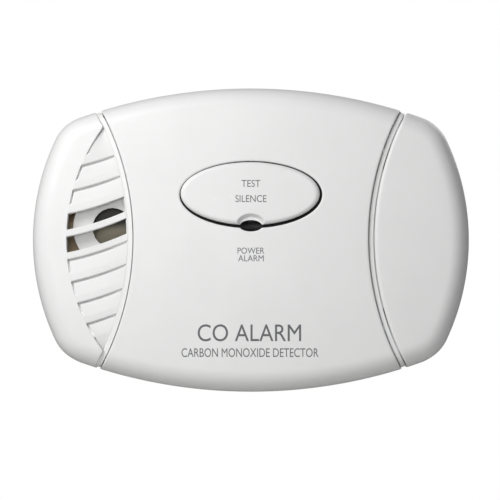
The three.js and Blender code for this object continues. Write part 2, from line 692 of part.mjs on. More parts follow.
// ---------- electronics ----------
function makeCircuitBoard() {
  const back = BOARD_FRONT - BOARD_THICKNESS;
  const board = new THREE.Shape();
  board.moveTo(BOARD_RIGHT, -BOARD_HALF_HEIGHT);
  board.lineTo(BOARD_RIGHT, BOARD_HALF_HEIGHT);
  board.lineTo(-BOARD_LEFT + BOARD_CHAMFER, BOARD_HALF_HEIGHT);
  board.lineTo(-BOARD_LEFT, BOARD_HALF_HEIGHT - BOARD_CHAMFER);
  board.lineTo(-BOARD_LEFT, -BOARD_HALF_HEIGHT + BOARD_CHAMFER);
  board.lineTo(-BOARD_LEFT + BOARD_CHAMFER, -BOARD_HALF_HEIGHT);
  let made = prism(board, back, BOARD_FRONT);
  for (const spot of boardScrewSpots) {
    made = made.subtract(
      rod(spot.x, spot.z, BOARD_SCREW_RADIUS + SCREW_CLEAR, back - 1, BOARD_FRONT + 1, 16),
    );
  }
  for (const side of [-1, 1]) {
    made = made.subtract(
      rod(side * LEG_X, HOLE_CENTRE_Z, LEG_RADIUS + GAP, back - 1, BOARD_FRONT + 1, 16),
    );
  }
  return made;
}

const ON_BOARD = BOARD_FRONT + 0.05; // wall to the feet of what stands on the board
const DISC_DEPTH = BOARD_FRONT + 7.4;
const DISC_THICKNESS = 0.4;

function makeHornHousing() {
  const front = BOARD_FRONT + HORN_HEIGHT;
  const cup = rod(HORN_X, HORN_Z, HORN_RADIUS, ON_BOARD, front, 32);
  const chamber = rod(HORN_X, HORN_Z, HORN_RADIUS - HORN_WALL - 1, ON_BOARD, front - HORN_WALL, 32);
  const seat = rod(HORN_X, HORN_Z, HORN_RADIUS - HORN_WALL, ON_BOARD - 1, DISC_DEPTH + 0.5, 32);
  const mouth = rod(HORN_X, HORN_Z, HORN_MOUTH_RADIUS, ON_BOARD, front + 1, 24);
  return cup.subtract(chamber).subtract(seat).subtract(mouth);
}

function makePiezoDisc() {
  const radius = HORN_RADIUS - HORN_WALL - GAP;
  return rod(HORN_X, HORN_Z, radius, DISC_DEPTH - DISC_THICKNESS, DISC_DEPTH, 24);
}

function makeHornContact(offset) {
  const back = DISC_DEPTH - DISC_THICKNESS - 0.1;
  return rod(HORN_X + offset, HORN_Z, 0.9, ON_BOARD, back, 12);
}

function makeSensorBody() {
  const front = ON_BOARD + SENSOR_HEIGHT;
  const body = rod(SENSOR_X, SENSOR_Z, SENSOR_RADIUS, ON_BOARD, front, 24);
  const pocket = rod(SENSOR_X, SENSOR_Z, SENSOR_RADIUS - 2.4, front - 2.2, front + 1, 24);
  return body.subtract(pocket);
}

function makeSensorFilter() {
  const back = ON_BOARD + SENSOR_HEIGHT - 2.15;
  return rod(SENSOR_X, SENSOR_Z, SENSOR_RADIUS - 2.7, back, back + 1.8, 24);
}

function makeSensorCap() {
  const seat = ON_BOARD + SENSOR_HEIGHT + 0.05;
  const skirt = rod(SENSOR_X, SENSOR_Z, SENSOR_RADIUS + 0.7, seat - 4, seat + 0.7, 24);
  const hollow = rod(SENSOR_X, SENSOR_Z, SENSOR_RADIUS + 0.2, seat - 5, seat, 24);
  const inlet = rod(SENSOR_X, SENSOR_Z, 2.2, seat - 1, seat + 2, 20);
  return skirt.subtract(hollow).subtract(inlet);
}

function makeSwitchBody() {
  const front = ON_BOARD + SWITCH_HEIGHT - 0.05;
  const body = block(0, SWITCH_Z, SWITCH_SIDE, SWITCH_SIDE, ON_BOARD, front);
  return body.subtract(rod(0, SWITCH_Z, STEM_RADIUS + 0.25, front - 1.8, front + 1, 20));
}

function makeSwitchStem() {
  const back = BOARD_FRONT + SWITCH_HEIGHT - 1.8 + STEM_TRAVEL + 0.1;
  return rod(0, SWITCH_Z, STEM_RADIUS, back, STEM_TIP, 20);
}

const LED_SPACING = 4.2;
const LED_RADIUS = 1.5;
const LED_TIP = BOARD_FRONT + 9;

function makeLedHolder() {
  const holder = oval(0, INDICATOR_Z, INDICATOR_HALF_WIDTH + 0.9, INDICATOR_HALF_HEIGHT + 0.9);
  let made = prism(holder, ON_BOARD, LED_TIP + 2.5);
  for (const side of [-1, 1]) {
    const bore = rod((side * LED_SPACING) / 2, INDICATOR_Z, LED_RADIUS + 0.25, BOARD_FRONT, DEPTH, 20);
    made = made.subtract(bore);
  }
  return made;
}

function makeLed(side) {
  const body = turned(
    [
      [0, 0],
      [LED_RADIUS, 0],
      [LED_RADIUS, LED_TIP - ON_BOARD - LED_RADIUS],
      [LED_RADIUS * 0.8, LED_TIP - ON_BOARD - LED_RADIUS * 0.4],
      [LED_RADIUS * 0.4, LED_TIP - ON_BOARD - LED_RADIUS * 0.08],
      [0, LED_TIP - ON_BOARD],
    ],
    16,
  );
  body.rotateX(Math.PI);
  body.translate((side * LED_SPACING) / 2, -ON_BOARD, INDICATOR_Z);
  return solid(body);
}

const makeMicrocontroller = () => block(0, -14, 12, 7.6, ON_BOARD, ON_BOARD + 1.8);
const makeTransformer = () => block(-22, -9, 9, 9, ON_BOARD, ON_BOARD + 8);
const makeCapacitor = (x, z, radius, height) => rod(x, z, radius, ON_BOARD, ON_BOARD + height);

// ---------- battery ----------
// A cell on the Z axis, its raised terminal up or down.
function makeCell(x, up) {
  const half = CELL_LENGTH / 2;
  const cell = turned(
    [
      [0, -half],
      [CELL_RADIUS - 0.8, -half],
      [CELL_RADIUS, -half + 0.6],
      [CELL_RADIUS, half - 1.8],
      [CELL_RADIUS - 0.7, half - 1.1],
      [2.75, half - 1.1],
      [2.6, half],
      [0, half],
    ],
    20,
  );
  cell.rotateX(up > 0 ? Math.PI / 2 : -Math.PI / 2);
  cell.translate(x, -CELL_DEPTH, 0);
  return solid(cell);
}

const PLATE_THICKNESS = 0.4;
const PLATE_SIZE = 10;
const PLATE_INNER = BAY_HALF - PLATE_THICKNESS - 0.1; // height of the plates' inner faces
const TAB_WIDTH = 2.6;
const TAB_HEIGHT = PLATE_THICKNESS + BAY_WALL + 1.8; // from a plate's inner face
const TAB_TOP = PLATE_INNER + TAB_HEIGHT;

function contactPlate(left, right, up) {
  const box = new THREE.BoxGeometry(right - left, PLATE_SIZE, PLATE_THICKNESS);
  box.translate((left + right) / 2, -CELL_DEPTH, up * (PLATE_INNER + PLATE_THICKNESS / 2));
  return solid(box);
}

// A terminal plate, with a dimple if it meets a raised end, and a tab for its lead.
function makeTerminal(x, dimple) {
  const half = PLATE_SIZE / 2;
  let plate = contactPlate(x - half, x + half, 1);
  const tab = new THREE.BoxGeometry(TAB_WIDTH, 2, TAB_HEIGHT);
  tab.translate(x, -CELL_DEPTH - half, TAB_TOP - TAB_HEIGHT / 2);
  plate = plate.add(solid(tab));
  return dimple ? plate.add(dimpleAt(x, 1)) : plate;
}

function dimpleAt(x, up) {
  const reach = PLATE_INNER - CELL_LENGTH / 2 - 0.1;
  const cone = new THREE.CylinderGeometry(1.6, 3.4, reach + 0.1, 20);
  cone.rotateX(up > 0 ? -Math.PI / 2 : Math.PI / 2);
  cone.translate(x, -CELL_DEPTH, up * (PLATE_INNER + 0.1 - (reach + 0.1) / 2));
  return solid(cone);
}

function makeBridgeContact() {
  const half = PLATE_SIZE / 2;
  return contactPlate(CELL_INNER_X - half, CELL_OUTER_X + half, -1).add(dimpleAt(CELL_INNER_X, -1));
}

// A conical spring between a contact plate and the flat end of a cell.
function makeSpring(x, up) {
  class Coil extends THREE.Curve {
    getPoint(t, target = new THREE.Vector3()) {
      const turns = 3;
      const wire = 0.4;
      const radius = 4.2 - 1.8 * t;
      const low = PLATE_INNER - wire - 0.08;
      const high = CELL_LENGTH / 2 + wire + 0.08;
      const angle = turns * 2 * Math.PI * t;
      const along = low + (high - low) * t;
      return target.set(
        x + radius * Math.cos(angle),
        -CELL_DEPTH + radius * Math.sin(angle),
        up * along,
      );
    }
  }
  const section = new THREE.Shape().absarc(0, 0, 0.4, 0, Math.PI * 2);
  const settings = { steps: 36, curveSegments: 2, extrudePath: new Coil(), bevelEnabled: false };
  return solid(new THREE.ExtrudeGeometry(section, settings));
}

// An insulated lead from a terminal's tab to the board.
function makeLead(points) {
  const path = new THREE.CatmullRomCurve3(points.map((point) => new THREE.Vector3(...point)));
  const section = new THREE.Shape().absarc(0, 0, 0.75, 0, Math.PI * 2);
  const settings = { steps: 18, curveSegments: 3, extrudePath: path, bevelEnabled: false };
  return solid(new THREE.ExtrudeGeometry(section, settings));
}

const TAB_DEPTH = CELL_DEPTH + PLATE_SIZE / 2;
const LEAD_END = BOARD_FRONT + 0.4;

function blackLeadPath() {
  return [
    [CELL_INNER_X - 2.4, -TAB_DEPTH, TAB_TOP - 0.4],
    [CELL_INNER_X - 5, -TAB_DEPTH, TAB_TOP + 0.8],
    [BAY_LEFT - 2.4, -TAB_DEPTH + 1, TAB_TOP + 0.8],
    [BAY_LEFT - 4.6, -TAB_DEPTH + 1.5, TAB_TOP - 4.6],
    [BOARD_RIGHT - 2.5, -LEAD_END - 3.6, TAB_TOP - 13.6],
    [BOARD_RIGHT - 3, -LEAD_END - 1, TAB_TOP - 17],
    [BOARD_RIGHT - 3, -LEAD_END, TAB_TOP - 17.4],
  ];
}

function redLeadPath() {
  return [
    [CELL_OUTER_X - 2.4, -TAB_DEPTH, TAB_TOP - 0.4],
    [CELL_OUTER_X - 5.5, -TAB_DEPTH, TAB_TOP + 1.6],
    [CELL_INNER_X, -TAB_DEPTH + 1, TAB_TOP + 3],
    [BAY_LEFT - 0.8, -TAB_DEPTH + 3, TAB_TOP + 2.8],
    [BOARD_RIGHT - 1.4, -LEAD_END - 2, TAB_TOP],
    [BOARD_RIGHT - 2, -LEAD_END, TAB_TOP - 2],
  ];
}

// ---------- fasteners and label ----------
// A pan-head screw along Y: its head is nearest the wall.
function makeScrew(spot, headBack, headRadius, shankRadius, shankLength) {
  const head = rod(spot.x, spot.z, headRadius, headBack, headBack + 1.6, 14);
  const shank = rod(spot.x, spot.z, shankRadius, headBack + 1, headBack + 1.6 + shankLength, 10);
  const drive = block(spot.x, spot.z, 0.6, headRadius * 1.3, headBack - 1, headBack + 0.7);
  const cross = block(spot.x, spot.z, headRadius * 1.3, 0.6, headBack - 1, headBack + 0.7);
  return head.add(shank).subtract(drive.add(cross));
}

function makeRearLabel() {
  const left = BRACKET_WIDTH / 2 + 6;
  const right = WIDTH / 2 - 12;
  return block((left + right) / 2, 0, right - left, 44, REAR_CLEAR - 0.3, REAR_CLEAR - 0.05);
}

// ---------- finishes ----------
function finish(color, roughness, metalness = 0) {
  return new THREE.MeshStandardMaterial({ color, roughness, metalness });
}
const FINISHES = {
  whiteCase: finish(0xf1f1ef, 0.45),
  whiteInner: finish(0xeeece6, 0.5),
  board: finish(0x6e6036, 0.55),
  black: finish(0x17171a, 0.5),
  steel: finish(0xb9bcbe, 0.3, 1),
  brass: finish(0xb08d4a, 0.35, 1),
  felt: finish(0xd9d6cc, 0.9),
  redLens: finish(0x6e1210, 0.25),
  greenLens: finish(0x123f1c, 0.25),
  cellJacket: finish(0x23262b, 0.35),
  redLead: finish(0xb01f1b, 0.5),
  blackLead: finish(0x1b1b1d, 0.5),
  paper: finish(0xe6e7e8, 0.6),
};

// ---------- assembly ----------
const alarm = new THREE.Group();

function put(name, body, material) {
  const made = body.getMesh();
  const geometry = new THREE.BufferGeometry();
  const vertices = new Float32Array(made.numVert * 3);
  for (let i = 0; i < made.numVert; i++) {
    const at = i * made.numProp;
    vertices.set(made.vertProperties.subarray(at, at + 3), i * 3);
  }
  geometry.setAttribute("position", new THREE.BufferAttribute(vertices, 3));
  geometry.setIndex(new THREE.BufferAttribute(made.triVerts, 1));
  geometry.computeVertexNormals();
  const mesh = new THREE.Mesh(geometry, material);
  mesh.name = name;
  alarm.add(mesh);
}

put("wall_bracket", makeWallBracket(), FINISHES.whiteInner);
put("rear_housing", makeRearHousing(), FINISHES.whiteCase);
put("front_cover", makeFrontCover(), FINISHES.whiteCase);
put("face_panel", makeFacePanel(), FINISHES.whiteCase);
put("battery_door", makeBatteryDoor(), FINISHES.whiteCase);
put("test_button", makeTestButton(), FINISHES.whiteCase);
put("circuit_board", makeCircuitBoard(), FINISHES.board);
put("horn_housing", makeHornHousing(), FINISHES.whiteInner);
put("piezo_disc", makePiezoDisc(), FINISHES.brass);
put("horn_contact_centre", makeHornContact(0), FINISHES.steel);
put("horn_contact_rim", makeHornContact(HORN_RADIUS - HORN_WALL - 2), FINISHES.steel);
put("sensor_body", makeSensorBody(), FINISHES.black);
put("sensor_filter", makeSensorFilter(), FINISHES.felt);
put("sensor_cap", makeSensorCap(), FINISHES.steel);
put("switch_body", makeSwitchBody(), FINISHES.black);
put("switch_stem", makeSwitchStem(), FINISHES.black);
put("led_holder", makeLedHolder(), FINISHES.black);
put("led_green", makeLed(-1), FINISHES.greenLens);
put("led_red", makeLed(1), FINISHES.redLens);
put("microcontroller", makeMicrocontroller(), FINISHES.black);
put("horn_transformer", makeTransformer(), FINISHES.black);
put("capacitor_large", makeCapacitor(13, -9, 3.2, 8), FINISHES.black);
put("capacitor_small", makeCapacitor(13, -19, 2.5, 6), FINISHES.black);
put("cell_inner", makeCell(CELL_INNER_X, -1), FINISHES.cellJacket);
put("cell_outer", makeCell(CELL_OUTER_X, 1), FINISHES.cellJacket);
put("terminal_negative", makeTerminal(CELL_INNER_X, false), FINISHES.steel);
put("terminal_positive", makeTerminal(CELL_OUTER_X, true), FINISHES.steel);
put("bridge_contact", makeBridgeContact(), FINISHES.steel);
put("spring_inner", makeSpring(CELL_INNER_X, 1), FINISHES.steel);
put("spring_outer", makeSpring(CELL_OUTER_X, -1), FINISHES.steel);
put("lead_black", makeLead(blackLeadPath()), FINISHES.blackLead);
put("lead_red", makeLead(redLeadPath()), FINISHES.redLead);
caseScrewSpots.forEach((spot, i) => {
  const screw = makeScrew(spot, COUNTERBORE_DEPTH - 1.65, 2.6, CASE_SCREW_RADIUS, 16);
  put(`case_screw_${i + 1}`, screw, FINISHES.steel);
});
boardScrewSpots.forEach((spot, i) => {
  const head = BOARD_FRONT - BOARD_THICKNESS - 1.65;
  put(`board_screw_${i + 1}`, makeScrew(spot, head, 2.3, BOARD_SCREW_RADIUS, 9), FINISHES.steel);
});
put("rear_label", makeRearLabel(), FINISHES.paper);

export default alarm;
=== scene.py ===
import bpy
import numpy as np
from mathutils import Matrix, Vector


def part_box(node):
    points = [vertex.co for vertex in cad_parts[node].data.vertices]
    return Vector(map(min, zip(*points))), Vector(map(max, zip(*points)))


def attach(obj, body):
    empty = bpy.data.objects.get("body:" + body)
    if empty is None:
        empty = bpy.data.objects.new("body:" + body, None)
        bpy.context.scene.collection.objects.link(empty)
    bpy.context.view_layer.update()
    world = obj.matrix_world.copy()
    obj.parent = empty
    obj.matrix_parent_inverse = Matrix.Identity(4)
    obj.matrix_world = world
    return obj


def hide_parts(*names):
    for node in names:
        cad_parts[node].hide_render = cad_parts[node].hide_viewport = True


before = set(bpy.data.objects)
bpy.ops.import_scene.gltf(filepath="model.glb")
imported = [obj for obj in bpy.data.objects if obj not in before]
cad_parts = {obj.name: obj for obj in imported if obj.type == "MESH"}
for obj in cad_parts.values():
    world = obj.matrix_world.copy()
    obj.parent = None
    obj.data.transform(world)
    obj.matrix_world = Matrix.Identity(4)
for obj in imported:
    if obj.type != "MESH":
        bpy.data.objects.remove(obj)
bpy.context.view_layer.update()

MM = 0.001  # the shapes below are worked out in millimetres and stored in metres

# ---------------------------------------------------------------------------------------------
# Camera. The alarm is seen from the front through a long lens, almost without
# perspective, and from slightly below, so that the underside just shows.
VIEW_WIDTH = 164.4 * MM  # of the field at the front of the case
CAMERA_DISTANCE = 1.6
SENSOR = 36.0
camera_data = bpy.data.cameras.new("camera")
camera_data.sensor_width = SENSOR
camera_data.lens = SENSOR * CAMERA_DISTANCE / VIEW_WIDTH
camera_data.clip_end = 20.0
camera = bpy.data.objects.new("camera", camera_data)
view_middle = Vector((-0.3 * MM, -36 * MM, -3.7 * MM))
camera.location = view_middle + Vector((0.0, -CAMERA_DISTANCE, -70 * MM))
camera.rotation_euler = (view_middle - camera.location).to_track_quat("-Z", "Y").to_euler()
bpy.context.scene.collection.objects.link(camera)
bpy.context.scene.camera = camera

# ---------------------------------------------------------------------------------------------
# Studio. A plain pale floor lies below the alarm. A soft lamp hangs to the upper left in front of
# it, one further away in front and one behind, and white surroundings fill the shadows.
bpy.context.scene.view_settings.view_transform = "Standard"
FLOOR_LEVEL = -115 * MM


def plain_material(name, color, roughness):
    """A material with one Principled shader; returns the material, its nodes, links and shader."""
    material = bpy.data.materials.new(name)
    material.use_nodes = True
    nodes, links = material.node_tree.nodes, material.node_tree.links
    shader = nodes["Principled BSDF"]
    shader.inputs["Base Color"].default_value = (*color, 1.0)
    shader.inputs["Roughness"].default_value = roughness
    return material, nodes, links, shader


def place_mesh(name, points, faces, material, smooth=True):
    """A mesh object from an array of points in millimetres and a list of faces."""
    mesh = bpy.data.meshes.new(name)
    mesh.from_pydata((np.asarray(points, float) * MM).tolist(), [], faces)
    mesh.polygons.foreach_set("use_smooth", [smooth] * len(mesh.polygons))
    mesh.materials.append(material)
    mesh.update()
    piece = bpy.data.objects.new(name, mesh)
    bpy.context.scene.collection.objects.link(piece)
    return piece


floor_material = plain_material("pale_floor", (0.62, 0.62, 0.61), 0.7)[0]
floor_z = FLOOR_LEVEL / MM
floor_corners = [(-900, -620, floor_z), (900, -620, floor_z), (900, 340, floor_z), (-900, 340, floor_z)]
floor = place_mesh("floor", floor_corners, [(0, 1, 2, 3)], floor_material, smooth=False)


def soft_lamp(name, place, aim, width, height, power):
    """A square area lamp that faces a point."""
    data = bpy.data.lights.new(name, "AREA")
    data.shape = "RECTANGLE"
    data.size, data.size_y = width, height
    data.energy = power
    lamp = bpy.data.objects.new(name, data)
    lamp.location = place
    lamp.rotation_euler = (Vector(aim) - Vector(place)).to_track_quat("-Z", "Y").to_euler()
    bpy.context.scene.collection.objects.link(lamp)


soft_lamp("key_lamp", (-0.20, -0.30, 0.20), (0.0, -0.03, 0.0), 0.20, 0.20, 1.04)
soft_lamp("front_lamp", (-0.12, -1.5, 0.10), (0.0, -0.03, 0.0), 0.4, 0.4, 4.2)
soft_lamp("back_lamp", (0.5, 0.7, 0.5), (0.0, 0.0, 0.0), 0.5, 0.5, 2.4)

world = bpy.data.worlds.new("white_room")
bpy.context.scene.world = world
world.use_nodes = True
sky_nodes, sky_links = world.node_tree.nodes, world.node_tree.links
backdrop = sky_nodes["Background"]
backdrop.inputs["Color"].default_value = (1.0, 1.0, 1.0, 1.0)
fill = sky_nodes.new("ShaderNodeBackground")
fill.inputs["Color"].default_value = (0.97, 0.985, 1.0, 1.0)
fill.inputs["Strength"].default_value = 0.125
seen = sky_nodes.new("ShaderNodeLightPath")
pick = sky_nodes.new("ShaderNodeMixShader")
sky_links.new(seen.outputs["Is Camera Ray"], pick.inputs["Fac"])
sky_links.new(fill.outputs["Background"], pick.inputs[1])
sky_links.new(backdrop.outputs["Background"], pick.inputs[2])
sky_links.new(pick.outputs["Shader"], sky_nodes["World Output"].inputs["Surface"])

# ---------------------------------------------------------------------------------------------
# The moulded plastic of the case: white, satin, with the fine spark-eroded grain of the tool,
# slightly polished sharp edges that are also painted lighter as a highlight, and a trace of dust on
# what faces up.


def new_group(name, inputs, outputs):
    """An empty shader node group with named float, colour or vector sockets."""
    group = bpy.data.node_groups.new(name, "ShaderNodeTree")
    for socket, kind, value in inputs:
        made = group.interface.new_socket(socket, in_out="INPUT", socket_type="NodeSocket" + kind)
        made.default_value = value
    for socket, kind in outputs:
        group.interface.new_socket(socket, in_out="OUTPUT", socket_type="NodeSocket" + kind)
    return group, group.nodes.new("NodeGroupInput"), group.nodes.new("NodeGroupOutput")


def math_node(nodes, links, operation, first, second=None, clamp=False):
    """A math node fed by sockets or numbers; returns its output socket."""
    node = nodes.new("ShaderNodeMath")
    node.operation = operation
    node.use_clamp = clamp
    for index, value in enumerate((first, second)):
        if value is None:
            continue
        if isinstance(value, (int, float)):
            node.inputs[index].default_value = value
        else:
            links.new(value, node.inputs[index])
    return node.outputs[0]


def ramp_node(nodes, links, source, low, high):
    """A smooth step from 0 at low to 1 at high; returns its output socket."""
    node = nodes.new("ShaderNodeMapRange")
    node.interpolation_type = "SMOOTHSTEP"
    node.inputs["From Min"].default_value = low
    node.inputs["From Max"].default_value = high
    links.new(source, node.inputs["Value"])
    return node.outputs["Result"]


def mix_colour(nodes, links, factor, first, second):
    """A colour mix; each colour is a socket or a tuple. Returns the output socket."""
    node = nodes.new("ShaderNodeMix")
    node.data_type = "RGBA"
    links.new(factor, node.inputs["Factor"])
    for socket, value in (("A", first), ("B", second)):
        target = [i for i in node.inputs if i.name == socket and i.type == "RGBA"][0]
        if isinstance(value, tuple):
            target.default_value = (*value, 1.0)
        else:
            links.new(value, target)
    return [o for o in node.outputs if o.type == "RGBA"][0]


def build_grain_group():
    """Moulded grain: two sizes of noise on Object coordinates give a height and a mottle."""
    group, entry, result = new_group(
        "moulded_grain",
        [("Size", "Float", 0.35)],
        [("Height", "Float"), ("Mottle", "Float")],
    )
    nodes, links = group.nodes, group.links
    place = nodes.new("ShaderNodeTexCoord")
    scale = math_node(nodes, links, "DIVIDE", 1000.0, entry.outputs["Size"])
    fine = nodes.new("ShaderNodeTexNoise")
    fine.inputs["Detail"].default_value = 3.0
    links.new(place.outputs["Object"], fine.inputs["Vector"])
    links.new(scale, fine.inputs["Scale"])
    broad = nodes.new("ShaderNodeTexNoise")
    broad.inputs["Scale"].default_value = 60.0
    broad.inputs["Detail"].default_value = 4.0
    links.new(place.outputs["Object"], broad.inputs["Vector"])
    links.new(fine.outputs["Fac"], result.inputs["Height"])
    links.new(broad.outputs["Fac"], result.inputs["Mottle"])
    return group


def build_edge_wear_and_highlight_group():
    """Mask of sharp convex edges, broken up by noise: the edges it picks are made smoother and painted
    lighter as a highlight.
    """
    group, entry, result = new_group("edge_wear_and_highlight", [("Amount", "Float", 1.0)], [("Mask", "Float")])
    nodes, links = group.nodes, group.links
    shape = nodes.new("ShaderNodeNewGeometry")
    sharp = ramp_node(nodes, links, shape.outputs["Pointiness"], 0.52, 0.62)
    place = nodes.new("ShaderNodeTexCoord")
    patches = nodes.new("ShaderNodeTexNoise")
    patches.inputs["Scale"].default_value = 180.0
    patches.inputs["Detail"].default_value = 5.0
    links.new(place.outputs["Object"], patches.inputs["Vector"])
    broken = ramp_node(nodes, links, patches.outputs["Fac"], 0.35, 0.7)
    wear_and_highlight_mask = math_node(nodes, links, "MULTIPLY", sharp, broken)
    mask = math_node(nodes, links, "MULTIPLY", wear_and_highlight_mask, entry.outputs["Amount"], clamp=True)
    links.new(mask, result.inputs["Mask"])
    return group


def build_dust_group():
    """Settled dust: surfaces that face up, thinned by a cloudy noise."""
    group, entry, result = new_group("settled_dust", [("Amount", "Float", 1.0)], [("Mask", "Float")])
    nodes, links = group.nodes, group.links
    shape = nodes.new("ShaderNodeNewGeometry")
    parts = nodes.new("ShaderNodeSeparateXYZ")
    links.new(shape.outputs["Normal"], parts.inputs["Vector"])
    upward = ramp_node(nodes, links, parts.outputs["Z"], 0.25, 1.0)
    place = nodes.new("ShaderNodeTexCoord")
    cloud = nodes.new("ShaderNodeTexNoise")
    cloud.inputs["Scale"].default_value = 90.0
    cloud.inputs["Detail"].default_value = 6.0
    links.new(place.outputs["Object"], cloud.inputs["Vector"])
    patchy = ramp_node(nodes, links, cloud.outputs["Fac"], 0.3, 0.75)
    settled = math_node(nodes, links, "MULTIPLY", upward, patchy)
    mask = math_node(nodes, links, "MULTIPLY", settled, entry.outputs["Amount"], clamp=True)
    links.new(mask, result.inputs["Mask"])
    return group


GRAIN_GROUP = build_grain_group()
EDGE_WEAR_AND_HIGHLIGHT_GROUP = build_edge_wear_and_highlight_group()
DUST_GROUP = build_dust_group()


def use_group(nodes, group, **values):
    """A group node with its inputs set by name."""
    node = nodes.new("ShaderNodeGroup")
    node.node_tree = group
    for socket, value in values.items():
        node.inputs[socket].default_value = value
    return node


def moulded_plastic(name, color, roughness, grain=0.35, relief=0.004, dust=0.3, wear_and_highlight=0.5):
    """Moulded plastic: grain in the bump, mottle in the roughness, sharp edges polished smoother and
    painted lighter as a highlight, and dust.
    """
    material, nodes, links, shader = plain_material(name, color, roughness)
    texture = use_group(nodes, GRAIN_GROUP, Size=grain)
    edges = use_group(nodes, EDGE_WEAR_AND_HIGHLIGHT_GROUP, Amount=wear_and_highlight)
    settled = use_group(nodes, DUST_GROUP, Amount=dust)
    # Sharp edges get a lighter colour, which is a painted highlight; they are also made smoother in the
    # roughness below.
    lighter = tuple(min(1.0, c * 1.06 + 0.01) for c in color)
    duller = tuple(c * 0.94 for c in color)
    cloudy = ramp_node(nodes, links, texture.outputs["Mottle"], 0.3, 0.7)
    mottled = mix_colour(nodes, links, cloudy, color, tuple(c * 0.985 for c in color))
    edge_highlighted = mix_colour(nodes, links, edges.outputs["Mask"], mottled, lighter)
    dusty = mix_colour(nodes, links, settled.outputs["Mask"], edge_highlighted, duller)
    links.new(dusty, shader.inputs["Base Color"])
    uneven = math_node(nodes, links, "MULTIPLY_ADD", texture.outputs["Mottle"], 0.12)
    uneven.node.inputs[2].default_value = roughness - 0.06
    smoother = math_node(nodes, links, "MULTIPLY", edges.outputs["Mask"], 0.12)
    satin = math_node(nodes, links, "SUBTRACT", uneven, smoother, clamp=True)
    links.new(satin, shader.inputs["Roughness"])
    bump = nodes.new("ShaderNodeBump")
    bump.inputs["Strength"].default_value = 0.35
    bump.inputs["Distance"].default_value = relief * MM
    links.new(texture.outputs["Height"], bump.inputs["Height"])
    links.new(bump.outputs["Normal"], shader.inputs["Normal"])
    return material


WHITE_CASE = moulded_plastic("white_case_plastic", (0.88, 0.88, 0.875), 0.42)

# ---------------------------------------------------------------------------------------------
# The shape that all the front pieces share: a barrel-shaped outline of six bulges and rounded
# corners, and a front that is slightly crowned and rolls over into straight side walls.
HALF_WIDTH = -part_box("front_cover")[0].x / MM
HALF_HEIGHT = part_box("front_cover")[1].z / MM
CASE_DEPTH = 38.0
PARTING = -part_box("front_cover")[1].y / MM  # wall to the joint between front and rear
SIDE_RADIUS = 78.0
TOP_RADIUS = 170.0
CORNER_RADIUS = 14.0
EDGE_RADIUS = 6.0
CROWN = 1.8

side_x = HALF_WIDTH - SIDE_RADIUS
top_z = HALF_HEIGHT - TOP_RADIUS


def corner_place():
    """Centre of the corner arc, which touches the side and top arcs from inside, and the two
    angles where it meets them, counted from the X axis."""
    from_side, from_top = SIDE_RADIUS - CORNER_RADIUS, TOP_RADIUS - CORNER_RADIUS
    between = np.array([-side_x, top_z])
    distance = np.hypot(*between)
    along = (from_side**2 - from_top**2 + distance**2) / (2 * distance)
    across = np.sqrt(from_side**2 - along**2)
    unit = between / distance
    centre = np.array([side_x, 0.0]) + along * unit + across * np.array([-unit[1], unit[0]])
    side_end = np.arctan2(centre[1], centre[0] - side_x)
    top_end = np.arctan2(centre[1] - top_z, centre[0])
    return centre, side_end, top_end


(corner_x, corner_z), SIDE_END, TOP_END = corner_place()
SIDE_RUN = SIDE_RADIUS * SIDE_END
CORNER_RUN = CORNER_RADIUS * (TOP_END - SIDE_END)


def inset_and_normal(x, z):
    """How far a place lies inside the outline, and the outline's outward normal there: each
    place belongs to the arc whose sector it is in."""
    ax, az = np.abs(x), np.abs(z)
    on_top = np.arctan2(az - top_z, ax) > TOP_END
    on_side = (np.arctan2(az, ax - side_x) < SIDE_END) & ~on_top
    cx = np.where(on_top, 0.0, np.where(on_side, side_x, corner_x))
    cz = np.where(on_top, top_z, np.where(on_side, 0.0, corner_z))
    radius = np.where(on_top, TOP_RADIUS, np.where(on_side, SIDE_RADIUS, CORNER_RADIUS))
    reach = np.maximum(np.hypot(ax - cx, az - cz), 1e-9)
    return radius - reach, np.sign(x) * (ax - cx) / reach, np.sign(z) * (az - cz) / reach


def dome(x, z, sunk=0.0, below=0.0):
    """Points of the case's outer skin: the crown falls with the square of x and z, the edge is a
    quarter round of the inset. The point is then moved in along the normal by `sunk`, and
    towards the wall by `below`."""
    x, z, sunk, below = np.broadcast_arrays(*(np.asarray(v, float) for v in (x, z, sunk, below)))
    inset, nx, nz = inset_and_normal(x, z)
    cos = np.clip((EDGE_RADIUS - inset) / EDGE_RADIUS, 0.0, 1.0)
    sin = np.sqrt(1.0 - cos**2)
    depth = CASE_DEPTH - CROWN * ((x / HALF_WIDTH) ** 2 + (z / HALF_HEIGHT) ** 2)
    depth = depth - EDGE_RADIUS * (1.0 - sin)
    slope_x = 2 * CROWN * x / HALF_WIDTH**2
    slope_z = 2 * CROWN * z / HALF_HEIGHT**2
    normal = np.stack([nx * cos + slope_x * sin, sin, nz * cos + slope_z * sin], -1)
    normal /= np.linalg.norm(normal, axis=-1, keepdims=True)
    forward = np.stack([x, depth - below, z], -1) - sunk[..., None] * normal
    return forward * np.array([1.0, -1.0, 1.0])


def rim(run, inset):
    """A place on the right half of the outline, by the length run along it from the middle of
    the right side, drawn in by the inset."""
    length = np.abs(run)
    on_side, on_top = length < SIDE_RUN, length > SIDE_RUN + CORNER_RUN
    angle = np.where(on_side, length / SIDE_RADIUS, SIDE_END + (length - SIDE_RUN) / CORNER_RADIUS)
    angle = np.where(on_top, TOP_END + (length - SIDE_RUN - CORNER_RUN) / TOP_RADIUS, angle)
    cx = np.where(on_side, side_x, np.where(on_top, 0.0, corner_x))
    cz = np.where(on_side, 0.0, np.where(on_top, top_z, corner_z))
    radius = np.where(on_side, SIDE_RADIUS, np.where(on_top, TOP_RADIUS, CORNER_RADIUS)) - inset
    return cx + radius * np.cos(angle), np.sign(run) * (cz + radius * np.sin(angle))


